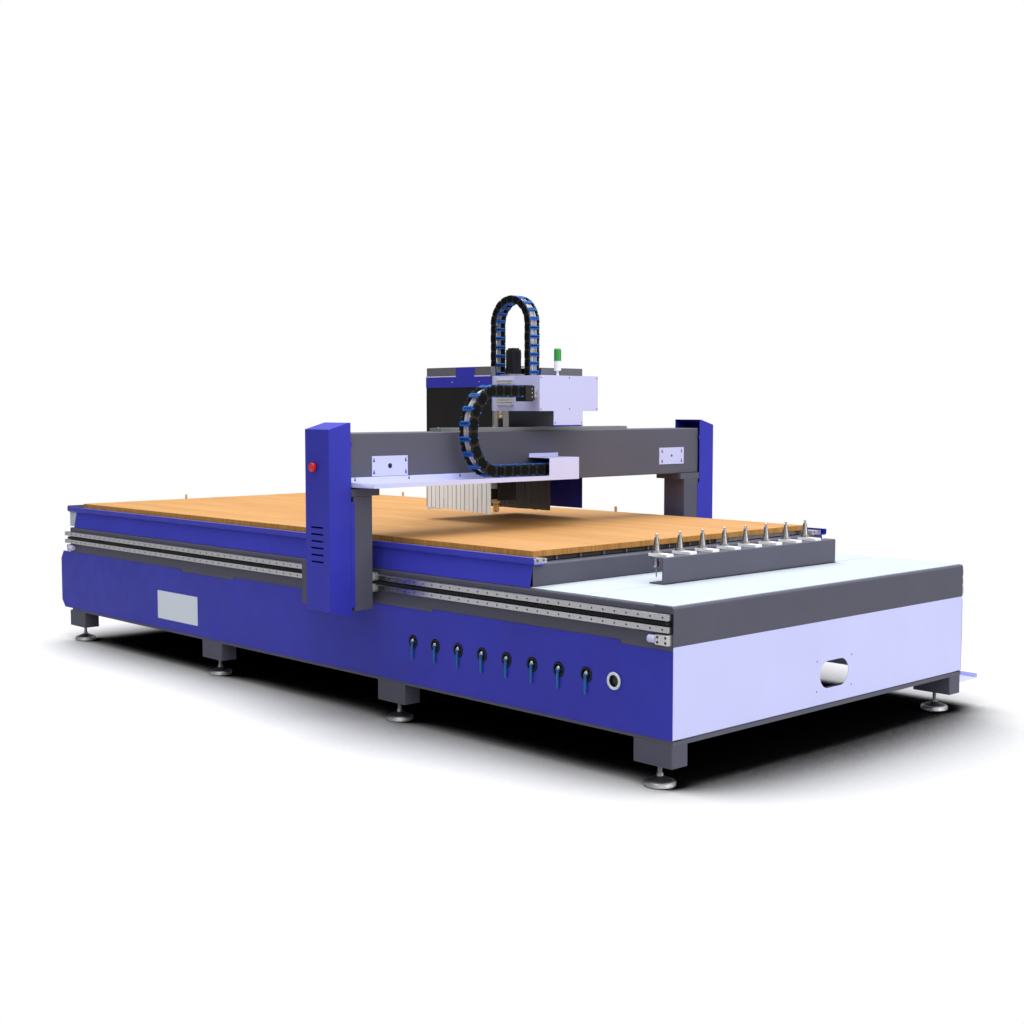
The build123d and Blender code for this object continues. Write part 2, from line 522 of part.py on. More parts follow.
save("estop_base", estop_disc(-4, 0, 19) + estop_disc(-1, 32, 10.9) - estop_disc(-5, 12, 8.05))
knob = estop_disc(-23, -5.5, 22)
knob = fillet(knob.edges().filter_by(GeomType.CIRCLE).sort_by(Axis.X)[0], 8)
knob -= estop_disc(-11, -5, 19.6)
save("estop_button", estop_disc(-12, 6, 8) + knob)


# X cable chain: lower run on the shelf, half-turn, upper run to the carriage
def bend_curve(offset, angles):
    return [(X_CHAIN_X - (X_CHAIN_BEND + offset) * math.cos(angle),
             X_CHAIN_Z + (X_CHAIN_R + offset) * math.sin(angle)) for angle in angles]


half = X_CHAIN_H / 2
angles = [math.pi * (i / 32 - 0.5) for i in range(33)]
chain = prism_y(bend_curve(half, angles) + bend_curve(-half, angles[::-1]),
                X_CHAIN_Y0, X_CHAIN_Y1)
for x1, z in ((98, X_CHAIN_Z - X_CHAIN_R), (-211, X_CHAIN_Z + X_CHAIN_R)):
    chain += box(X_CHAIN_X, x1, X_CHAIN_Y0, X_CHAIN_Y1, z - half, z + half)
chain += (box(-285, -211, X_CHAIN_Y0, X_CHAIN_Y1, 1535, 1616)
          + box(-212, -173.2, X_CHAIN_Y0 + 8, X_CHAIN_Y1 - 8, 1552, 1598))
save("x_cable_chain", chain)

# --------------------------------------------------------------- X carriage
# Plate with motor shelf and spacer, then the screw foot, posts, bar and fitting
x_plate = (box(-150, 300, -534, -514, 1125, 1673)
           - rod_y(X_PINION_X, -540, -510, X_PINION_Z, 9))
motor_shelf = box(-20, 100, -534, -460, 1673, 1683) - rod_z(SPINDLE_X, SCREW_Y, 1670, 1690, 7.05)
spacer = box(-150, 230, -554, -534, 1500, 1650)
screw_foot = box(15, 65, -514, -486, 1128, 1145) - rod_z(SPINDLE_X, SCREW_Y, 1120, 1150, 7.05)
posts = [box(-172, -165, y0, y1, 1400, 1484) for y0, y1 in ((-600, -556), (-680, -642))]
bar = box(-130, 255, -606, -600, 1402, 1484)
fitting = rod_z(-165, -621, 1446, 1484, 14) + rod_z(-165, -621, 1402, 1446, 9)
save("x_carriage_plate", x_plate + motor_shelf + spacer, screw_foot, posts, bar, fitting)

# Bearing blocks on the X rails, then the two grooved Z rails
guides = []
for z in X_RAIL_Z:
    for x0, x1 in ((-150, -60), (140, 230)):
        guides.append(box(x0, x1, -562, -534, z - 23, z + 23)
                      - box(x0 - 1, x1 + 1, -563, GANTRY_Y1 + X_RAIL_H + 0.4, z - 11.9, z + 11.9))
for x in Z_RAIL_X:
    z_rail = box(x - 10, x + 10, -514, -496.5, 1135, 1665)
    z_rail -= (box(x + 8, x + 11, -506, -502, 1130, 1670)
               + box(x - 11, x - 8, -506, -502, 1130, 1670))
    guides.append(z_rail)
save("carriage_guides", guides)

# Electrics box, its near cover and a slotted block on its left side
BOX_X0, BOX_X1, BOX_Z0, BOX_Z1 = -173, 263, 1484, 1667
case = (box(BOX_X0, BOX_X1, -918, -554, BOX_Z0, BOX_Z1)
        - box(BOX_X0 + 2.5, BOX_X1 - 2.5, -920, -556.5, BOX_Z0 + 2.5, BOX_Z1 - 2.5))
case_cover = prism_y([(BOX_X0, BOX_Z0), (-70, BOX_Z0), (-70, 1411), (147, 1411), (147, BOX_Z0),
                      (BOX_X1, BOX_Z0), (BOX_X1, BOX_Z1), (BOX_X0, BOX_Z1)], -920, -918)
slotted = box(-190, -173.2, -728, -605, 1515, 1647)
for i in range(9):
    slotted -= box(-195, -184, -730, -600, 1524 + 14 * i, 1530 + 14 * i)
save("electrics_box", case, case_cover, slotted)

LAMP_OUTLINE = [  # (r, z)
    (0, BOX_Z1), (10, BOX_Z1), (6, 1686), (6, 1700), (17, 1700), (19, 1703), (19, 1752),
    (19.5, 1753), (19.5, 1814), (15, 1820), (0, 1820)]
save("signal_lamp", revolve_z(LAMP_OUTLINE, 178, -700))

# Head top box: shallow lid, open below, cut away round the Z motor and chain
lid = (box(HEAD_X0, HEAD_X1, HEAD_Y0, HEAD_Y1, 1670, 1720)
       - box(HEAD_X0 + 3, HEAD_X1 - 3, HEAD_Y0 + 3, HEAD_Y1 - 3, 1660, 1717))
lid -= box(-8, 88, -546, -340, 1700, 1730)
lid -= box(-150, 190, -570, -340, 1672, 1730)
lid = fillet(lid.edges().filter_by(Axis.Z).filter_by(
    lambda e: e.center().X > HEAD_X1 - 1 or e.center().X < HEAD_X0 + 1), 6)
save("head_top_box", lid)

# Head panels: left band and sheet, far, right and near sheets, then bottom bars
band = (box(-186, -183.2, HEAD_Y0, HEAD_Y1, 1611, HEAD_Z1)
        + box(-186, -183.2, -432, -281, 1668, 1719))
left_sheet = (box(HEAD_X0, -181, -544, HEAD_Y1, 1126, HEAD_Z1)
              + box(HEAD_X0, -181, HEAD_Y0, -540, 1400, HEAD_Z1))
far_sheet = box(-181, 517, HEAD_Y1 - 3, HEAD_Y1, 1126, HEAD_Z1)
right_sheet = (box(517, HEAD_X1, -544, HEAD_Y1, 932, HEAD_Z1)
               + box(517, HEAD_X1, HEAD_Y0, -540, 932, 1117)
               + box(517, HEAD_X1, HEAD_Y0, -540, 1400, HEAD_Z1))
far_lower = box(268, 517, HEAD_Y1 - 3, HEAD_Y1, 932, 1126)
near_upper = box(265, 517, HEAD_Y0, HEAD_Y0 + 3, 1400, HEAD_Z1)
BARS = (  # (x0, x1, y0, y1, z1)
    (HEAD_X0, -163, HEAD_Y0, HEAD_Y1, 1125), (242, 262, HEAD_Y0, HEAD_Y1, 1117),
    (-163, 242, HEAD_Y0, HEAD_Y0 + 20, 1117), (-163, 242, HEAD_Y1 - 20, HEAD_Y1, 1125),
    (242, 517, -40, HEAD_Y1 - 3, 1117), (242, 517, -540, -528, 1117))
bars = [box(x0, x1, y0, y1, 1105, z1) for x0, x1, y0, y1, z1 in BARS]
near_lip = box(-68, 147, -920, -902, 1405, 1410.8)
save("head_panels", band, left_sheet, far_sheet, right_sheet, far_lower, near_upper, bars,
     near_lip)

save("strip_curtain", box(-185, -183.2, HEAD_Y0, HEAD_Y1, 930, 1125),
     box(262.2, 264, HEAD_Y0, HEAD_Y1 - 3.2, 929, 1104.8),
     box(-185, 264, HEAD_Y1 + 0.2, HEAD_Y1 + 2, 929, 1125))


# Z motor with cap, then X gearbox and motor
def square_y(y0, y1):
    """Square block on the X pinion's axis."""
    return box(X_PINION_X - MOTOR_HALF, X_PINION_X + MOTOR_HALF, y0, y1,
               X_PINION_Z - MOTOR_HALF, X_PINION_Z + MOTOR_HALF)


def square_z(half_width, z0, z1):
    """Square block on the ball screw's axis."""
    return box(SPINDLE_X - half_width, SPINDLE_X + half_width,
               SCREW_Y - half_width, SCREW_Y + half_width, z0, z1)


z_motor = square_z(MOTOR_HALF, 1683, 1815) - rod_z(SPINDLE_X, SCREW_Y, 1680, 1700, 7.05)
z_motor = round_along(z_motor, Axis.Z, 4)
x_gearbox = square_y(-514, -454) - rod_y(X_PINION_X, -515, -496, X_PINION_Z, 6.05)
x_motor = round_along(square_y(-454, -334), Axis.Y, 4)
save("carriage_motors", z_motor, square_z(22, 1815, 1824), x_gearbox, x_motor)

x_gear = Pos(X_PINION_X, -550, X_PINION_Z) * Rot(90, 0, 0) * gear(2.0, 19, 16)
save("x_pinion", x_gear + rod_y(X_PINION_X, -560, -500, X_PINION_Z, 6))

save("z_ball_screw", rod_z(SPINDLE_X, SCREW_Y, 1150, 1660, 10)
     + rod_z(SPINDLE_X, SCREW_Y, 1129, 1150, 7) + rod_z(SPINDLE_X, SCREW_Y, 1660, 1695, 7))

# Z cable chain: half-turn over the top and two hanging runs
half = Z_CHAIN_H / 2
chain = (rod_x(Z_CHAIN_X0, Z_CHAIN_X1, Z_CHAIN_Y, Z_CHAIN_Z, Z_CHAIN_R + half)
         - rod_x(Z_CHAIN_X0 - 1, Z_CHAIN_X1 + 1, Z_CHAIN_Y, Z_CHAIN_Z, Z_CHAIN_R - half)
         - box(Z_CHAIN_X0 - 1, Z_CHAIN_X1 + 1, Z_CHAIN_Y - 300, Z_CHAIN_Y + 300,
               Z_CHAIN_Z - 300, Z_CHAIN_Z))
for y, z0 in ((Z_CHAIN_Y - Z_CHAIN_R, 1667.2), (Z_CHAIN_Y + Z_CHAIN_R, 1470.2)):
    chain += box(Z_CHAIN_X0, Z_CHAIN_X1, y - half, y + half, z0, Z_CHAIN_Z)
save("z_cable_chain", chain)

# ------------------------------------------------------------ Z slide, tool
z_plate = (box(-50, 130, -484, -466, 1130, 1470) + box(2, 78, -466, -352, 1462, 1470)
           + box(-50, 73, -484, -466, 997, 1131))
z_bearings = []
for x in Z_RAIL_X:
    for z0, z1 in ((1180, 1240), (1400, 1460)):
        z_bearings.append(box(x - 22, x + 22, -510, -484, z0, z1)
                          - box(x - 10.4, x + 10.4, -511, -496.1, z0 - 1, z1 + 1))
screw_nut = box(15, 65, -512, -484, 1300, 1350) - rod_z(SPINDLE_X, SCREW_Y, 1290, 1360, 10.06)
save("z_slide", z_plate, z_bearings, screw_nut)

clamps = [box(-30, 110, -466, -335, z0, z1)
          - rod_z(SPINDLE_X, SPINDLE_Y, z0 - 1, z1 + 1, 55.03)
          for z0, z1 in ((1150, 1215), (1320, 1385))]
SPINDLE_OUTLINE = [(0, 1040), (20, 1040), (20, 997), (50, 997), (55, 1002), (55, 1396),  # (r, z)
                   (51, 1400), (0, 1400)]
save("spindle", revolve_z(SPINDLE_OUTLINE, SPINDLE_X, SPINDLE_Y), clamps)

TOOL_OUTLINE = [  # (r, z)
    (0, 922), (4, 922), (5, 925), (15, 927), (17.5, 930), (17.5, 962), (15, 966), (14, 968),
    (14, 971), (24, 973), (24, 988), (19.94, 991), (19.94, 1036), (0, 1036)]
save("spindle_tool", revolve_z(TOOL_OUTLINE, SPINDLE_X, SPINDLE_Y))
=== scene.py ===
"""A CNC gantry router: looks, studio and camera, built over the CAD pieces.

X runs across the bed, along the gantry beam; Y runs along the bed, with the camera on the -Y, -X
side; Z is up and the floor is at 0. Meshes are built in millimetres, everything else in metres.
"""
import math
import random
from bisect import bisect_right

import bmesh
import bpy
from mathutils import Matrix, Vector


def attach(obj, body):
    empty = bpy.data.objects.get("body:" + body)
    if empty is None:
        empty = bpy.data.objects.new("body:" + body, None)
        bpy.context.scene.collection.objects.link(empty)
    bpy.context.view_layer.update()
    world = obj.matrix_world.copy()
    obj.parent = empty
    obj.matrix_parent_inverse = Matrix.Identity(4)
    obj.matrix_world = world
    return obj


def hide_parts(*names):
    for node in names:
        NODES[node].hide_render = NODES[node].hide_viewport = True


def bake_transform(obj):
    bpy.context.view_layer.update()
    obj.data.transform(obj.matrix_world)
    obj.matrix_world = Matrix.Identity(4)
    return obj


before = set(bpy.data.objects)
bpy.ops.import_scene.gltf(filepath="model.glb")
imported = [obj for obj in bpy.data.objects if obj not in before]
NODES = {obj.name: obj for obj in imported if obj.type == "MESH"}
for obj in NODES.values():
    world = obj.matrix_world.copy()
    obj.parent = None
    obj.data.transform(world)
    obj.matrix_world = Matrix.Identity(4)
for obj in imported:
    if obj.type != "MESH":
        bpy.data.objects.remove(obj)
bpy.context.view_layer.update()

# directions that screws and turned parts face
NEG_X, POS_X = (-1, 0, 0), (1, 0, 0)
NEG_Y, POS_Y = (0, -1, 0), (0, 1, 0)
UP, DOWN = (0, 0, 1), (0, 0, -1)


# ------------------------------------------------------------------ materials
BLUE = (0.035, 0.039, 0.42)
LAVENDER = (0.57, 0.59, 0.90)
DARK = (0.088, 0.088, 0.120)

BROAD, MIDDLE = (0.3, 0.7), (0.35, 0.65)  # bands of noise that a ramp spreads out
FALLING = (1, 0)                          # output of a ramp that runs downwards


class Nodes:
    """A shader tree. Values may be numbers, colours, vectors or outputs of other nodes."""

    def __init__(self, tree, coords="Object"):
        self.tree = tree
        tree.nodes.clear()
        self.coords = self.add("TexCoord", output=coords)

    def feed(self, socket, value):
        if isinstance(value, bpy.types.NodeSocket):
            self.tree.links.new(value, socket)
        elif socket.type == "RGBA":
            socket.default_value = (*value, 1.0)
        else:
            socket.default_value = value

    def add(self, kind, inputs=None, output=0, **settings):
        """Make a node and return one of its outputs."""
        node = self.tree.nodes.new("ShaderNode" + kind)
        for key, value in settings.items():
            setattr(node, key, value)
        for key, value in (inputs or {}).items():
            self.feed(node.inputs[key], value)
        return node.outputs[output]

    def noise(self, scale, detail=3.0, roughness=0.55, stretch=None, distortion=0.0):
        vector = self.coords
        if stretch:
            vector = self.add("Mapping", {"Scale": stretch, "Vector": vector})
        return self.add("TexNoise", {"Scale": scale, "Detail": detail, "Roughness": roughness,
                                     "Distortion": distortion, "Vector": vector}, "Fac")

    def ramp(self, value, band, to=(0, 1)):
        """Map the band of a value onto the range `to`."""
        return self.add("MapRange", {"From Min": band[0], "From Max": band[1],
                                     "To Min": to[0], "To Max": to[1], "Value": value})

    def window(self, value, rise, fall):
        """1 between two bands, 0 outside them."""
        return self.calc("MULTIPLY", self.ramp(value, rise), self.ramp(value, fall, FALLING))

    def calc(self, operation, *values):
        return self.add("Math", dict(enumerate(values)), operation=operation)

    def mix(self, factor, first, second):
        """Mix two colours."""
        return self.add("Mix", {0: factor, 6: first, 7: second}, 2, data_type="RGBA")

    def mix_number(self, factor, first, second):
        return self.add("Mix", {0: factor, 2: first, 3: second})

    def blend_in(self, base, mask, amount, color):
        """Lay part of a colour over the base where the mask is 1."""
        return self.mix(self.calc("MULTIPLY", mask, amount), base, color)

    def axis(self, letter, vector=None):
        return self.add("SeparateXYZ", {0: vector or self.coords}, letter)


class Finish(Nodes):
    """A principled material under construction. Masks are in metres."""

    def __init__(self, name):
        self.material = bpy.data.materials.new(name)
        self.material.use_nodes = True
        super().__init__(self.material.node_tree)
        self.output = self.tree.nodes.new("ShaderNodeOutputMaterial").inputs["Surface"]
        self.shader = self.tree.nodes.new("ShaderNodeBsdfPrincipled")
        self.feed(self.output, self.shader.outputs[0])

    def surface(self, **values):
        """Set shader inputs, with _ for a space in their names."""
        for key, value in values.items():
            self.feed(self.shader.inputs[key.replace("_", " ")], value)

    def bump(self, height, strength, distance):
        self.surface(Normal=self.add(
            "Bump", {"Strength": strength, "Distance": distance, "Height": height}))

    def step(self, letter, at, half=0.0006):
        """0 below a place on one axis, 1 above it."""
        return self.ramp(self.axis(letter), (at - half, at + half))

    def between(self, letter, low, high, half=0.0004):
        return self.window(self.axis(letter), (low - half, low + half), (high - half, high + half))

    def outside(self, letter, at, half=0.0004):
        """1 where the distance from the centre plane exceeds a value."""
        distance = self.calc("ABSOLUTE", self.axis(letter))
        return self.ramp(distance, (at - half, at + half))


def shade(color, factor):
    return tuple(min(1.0, x * factor) for x in color)


def paint(name, color, roughness=0.42, relief=0.10, grain=700.0, cloud=0.07, specular=0.22):
    """Powder coat: fine orange peel, faint cloudiness, slightly lighter edges (painted highlight).
    """
    m = Finish(name)
    clouds = m.ramp(m.noise(scale=2.3, detail=4), MIDDLE)
    base = m.mix(clouds, shade(color, 1 - cloud), shade(color, 1 + cloud))
    specks = m.ramp(m.noise(scale=310, detail=2), band=(0.66, 0.74))
    base = m.blend_in(base, specks, amount=0.10, color=shade(color, 1.35))
    # painted edge highlight: convex edges, found by pointiness, are lightened
    edges = m.ramp(m.add("NewGeometry", output="Pointiness"), band=(0.53, 0.60))
    edge_highlight_color = tuple(min(1, x * 1.25 + 0.02) for x in color)
    base = m.blend_in(base, edges, amount=0.35, color=edge_highlight_color)
    gloss = m.ramp(m.noise(scale=9, detail=4), BROAD, to=(roughness - 0.05, roughness + 0.07))
    m.surface(Base_Color=base, Roughness=gloss, Coat_Roughness=0.22, Specular_IOR_Level=specular)
    m.bump(m.noise(scale=grain, detail=2, roughness=0.6), strength=relief, distance=0.0006)
    return m.material


def steel(name, color=(0.56, 0.57, 0.59), roughness=0.28, stretch=(1, 60, 60), relief=0.12,
          metallic=1.0):
    """Ground metal, brushed along the axis of least stretch."""
    m = Finish(name)
    brushing = m.noise(scale=14, detail=6, roughness=0.7, stretch=stretch)
    blotches = m.noise(scale=6, detail=3)
    base = m.mix(m.ramp(brushing, BROAD), shade(color, 0.82), shade(color, 1.12))
    base = m.blend_in(base, m.ramp(blotches, band=(0.45, 0.7)), amount=0.25,
                      color=shade(color, 0.75))
    m.surface(Base_Color=base, Metallic=metallic,
              Roughness=m.ramp(brushing, BROAD, to=(roughness - 0.08, roughness + 0.12)))
    m.bump(brushing, strength=relief, distance=0.0004)
    return m.material


def plastic(name, color, roughness=0.45, grain=520.0, cloud=0.12, coat=0.0, specular=0.28):
    m = Finish(name)
    clouds = m.ramp(m.noise(scale=7, detail=4), MIDDLE)
    base = m.mix(clouds, shade(color, 1 - cloud), shade(color, 1 + cloud))
    gloss = m.ramp(m.noise(scale=40, detail=3), BROAD, to=(roughness - 0.06, roughness + 0.08))
    m.surface(Base_Color=base, Roughness=gloss, Coat_Weight=coat, Specular_IOR_Level=specular)
    cells = m.add("TexVoronoi", {"Scale": grain, "Vector": m.coords}, "Distance")
    m.bump(cells, strength=0.12, distance=0.0005)
    return m.material


def wood():
    """Sanded board with straight grain along the bed and a darker, rougher cut edge."""
    m = Finish("board_wood")
    figure = m.noise(scale=2.2, detail=5, roughness=0.6, stretch=(5.0, 0.45, 5.0), distortion=0.5)
    fine = m.noise(scale=11, detail=6, roughness=0.75, stretch=(14, 0.5, 14), distortion=0.2)
    pores = m.noise(scale=26, detail=3, roughness=0.7, stretch=(22, 0.7, 22))
    face = m.mix(m.ramp(figure, band=(0.32, 0.68)), (0.50, 0.250, 0.085), (0.60, 0.330, 0.120))
    face = m.blend_in(face, m.ramp(fine, band=(0.4, 0.7)), amount=0.50,
                      color=(0.43, 0.205, 0.058))
    face = m.blend_in(face, m.ramp(pores, band=(0.60, 0.72)), amount=0.28,
                      color=(0.30, 0.125, 0.045))
    upward = m.axis("Z", m.add("NewGeometry", output="True Normal"))
    layers = m.noise(scale=60, detail=4, roughness=0.7, stretch=(0.5, 0.5, 9))
    fibres = m.noise(scale=45, detail=4, roughness=0.7, stretch=(1, 1, 0.05))
    edge = m.mix(m.ramp(fibres, MIDDLE), (0.33, 0.150, 0.030), (0.60, 0.30, 0.075))
    edge = m.blend_in(edge, m.ramp(layers, band=(0.4, 0.6)), amount=0.5,
                      color=(0.42, 0.20, 0.045))
    m.surface(Base_Color=m.mix(m.ramp(upward, band=(0.2, 0.6), to=FALLING), face, edge),
              Roughness=m.ramp(fine, BROAD, to=(0.50, 0.68)), Specular_IOR_Level=0.24)
    m.bump(fine, strength=0.12, distance=0.0006)
    return m.material


def by_height(name, bands, threads=None):
    """A turned part in bands of (lower Z, colour, roughness, metallic), from the bottom up."""
    m = Finish(name)
    _, base, gloss, metallic = bands[0]
    for height, color, roughness, metal in bands[1:]:
        above = m.step("Z", height)
        base = m.mix(above, base, color)
        gloss = m.mix_number(above, gloss, roughness)
        metallic = m.mix_number(above, metallic, metal)
    rings = m.noise(scale=18, detail=3, roughness=0.6, stretch=(6, 6, 90))
    base = m.blend_in(base, m.ramp(rings, band=(0.35, 0.7)), amount=0.25, color=(0.10, 0.10, 0.11))
    m.surface(Base_Color=base, Roughness=gloss, Metallic=metallic)
    if threads:
        wave = m.add("TexWave", {"Scale": threads, "Vector": m.coords}, "Fac",
                     bands_direction="Z")
        m.bump(wave, strength=0.5, distance=0.0012)
    else:
        m.bump(rings, strength=0.1, distance=0.0004)
    return m.material


def end_stops():
    """Metal blocks at the ends of the bed, lavender bumpers in the spans next to them."""
    m = Finish("end_stop_finish")
    y = m.axis("Y")
    near = m.window(y, rise=(-2.5332, -2.5328), fall=(-1.0, -0.9))
    far = m.window(y, rise=(1.0, 1.1), fall=(2.4418, 2.4422))
    bumper = m.calc("ADD", near, far)
    grain = m.noise(scale=60, detail=4)
    metal = m.mix(grain, (0.62, 0.62, 0.62), (0.76, 0.76, 0.75))
    m.surface(Base_Color=m.mix(bumper, metal, (0.60, 0.61, 0.86)),
              Metallic=m.mix_number(bumper, 0.75, 0.0), Roughness=m.mix_number(bumper, 0.32, 0.5))
    m.bump(grain, strength=0.12, distance=0.0005)
    return m.material


def two_finishes(name, mask, first, second, roughness=(0.5, 0.5), metallic=(0.0, 0.0)):
    """One part in two colours; mask(m) is 0 for the first and 1 for the second."""
    m = Finish(name)
    part = mask(m)
    plain = m.mix(m.noise(scale=5, detail=4), shade(first, 0.92), shade(first, 1.08))
    brushing = m.noise(scale=14, detail=5, roughness=0.7, stretch=(1, 20, 20))
    brushed = m.mix(brushing, shade(second, 0.85), shade(second, 1.12))
    m.surface(Base_Color=m.mix(part, plain, brushed), Roughness=m.mix_number(part, *roughness),
              Metallic=m.mix_number(part, *metallic), Specular_IOR_Level=0.22)
    m.bump(m.noise(scale=500, detail=2, roughness=0.6), strength=0.12, distance=0.0005)
    return m.material


def clear_strip(name, color, alpha, painted_glow=0.0):
    m = Finish(name)
    streaks = m.noise(scale=5, detail=4, roughness=0.6, stretch=(9, 9, 0.8))
    # painted light: a set emission strength makes the strip glow although it is no lamp
    m.surface(Base_Color=m.mix(streaks, shade(color, 0.8), shade(color, 1.15)),
              Roughness=m.ramp(streaks, BROAD, to=(0.20, 0.45)),
              Alpha=m.ramp(streaks, BROAD, to=(alpha - 0.08, alpha + 0.08)),
              Specular_IOR_Level=0.2, Emission_Color=(1.0, 0.985, 0.98), Emission_Strength=painted_glow)
    m.bump(streaks, strength=0.25, distance=0.002)
    return m.material


def head_cladding():
    """Blue sheet, with black between two X planes behind the -Y lip."""
    m = Finish("head_cladding")
    x, y = m.axis("X"), m.axis("Y")
    black = m.window(x, rise=(-0.18325, -0.18315), fall=(0.2600, 0.2602))
    lip = m.ramp(y, band=(-0.90, -0.899), to=FALLING)
    is_blue = m.calc("MAXIMUM", m.calc("SUBTRACT", 1.0, black), lip)
    cloud = m.noise(scale=3, detail=4)
    blue = m.mix(cloud, shade(BLUE, 0.93), shade(BLUE, 1.07))
    dark = m.mix(cloud, (0.009, 0.009, 0.010), (0.014, 0.014, 0.015))
    m.surface(Base_Color=m.mix(is_blue, dark, blue), Specular_IOR_Level=0.22,
              Roughness=m.ramp(m.noise(scale=9, detail=4), BROAD, to=(0.32, 0.44)))
    m.bump(m.noise(scale=700, detail=2, roughness=0.6), strength=0.1, distance=0.0006)
    return m.material


def electrics_box():
    """Lavender paint with a bare aluminium -X side."""
    m = Finish("electrics_box_finish")
    side = m.ramp(m.axis("X"), band=(-0.1733, -0.1731), to=FALLING)
    painted = m.mix(m.noise(scale=3, detail=4), shade(LAVENDER, 0.98), shade(LAVENDER, 1.02))
    brushing = m.noise(scale=20, detail=5, roughness=0.7, stretch=(1, 30, 30))
    metal = m.mix(brushing, (0.50, 0.52, 0.53), (0.66, 0.68, 0.70))
    m.surface(Base_Color=m.mix(side, painted, metal), Metallic=m.mix_number(side, 0.0, 0.2),
              Roughness=m.ramp(m.noise(scale=9, detail=4), BROAD, to=(0.40, 0.50)),
              Specular_IOR_Level=0.22)
    m.bump(m.noise(scale=700, detail=2, roughness=0.6), strength=0.08, distance=0.0006)
    return m.material


# masks for two_finishes
# black on the beams' outer faces over the height of the rails and rack
def band_at_rail_heights(m):
    return m.calc("MULTIPLY", m.outside("X", 1.0975), m.between("Z", 0.6255, 0.7035))


# painted shade: the near end face of the vacuum table is coloured near-black for its shade
def table_end_painted_shade(m):
    return m.calc("MULTIPLY", m.between("Y", -1.6902, -1.6892), m.between("X", -0.9845, 0.9845))


def rail_blocks(m):
    return m.calc("SUBTRACT", 1.0, m.outside("X", 1.1379))


# painted shade: the back plate of the cavity below the electrics box is dark grey for the cavity's
# shade
def plate_recess_painted_shade(m):
    return m.calc("MULTIPLY", m.between("Y", -0.6065, -0.5995), m.between("X", -0.1305, 0.2555))


def below(*band):
    return lambda m: m.ramp(m.axis("Z"), band, FALLING)


def above_band(*band):
    return lambda m: m.ramp(m.axis("Z"), band)


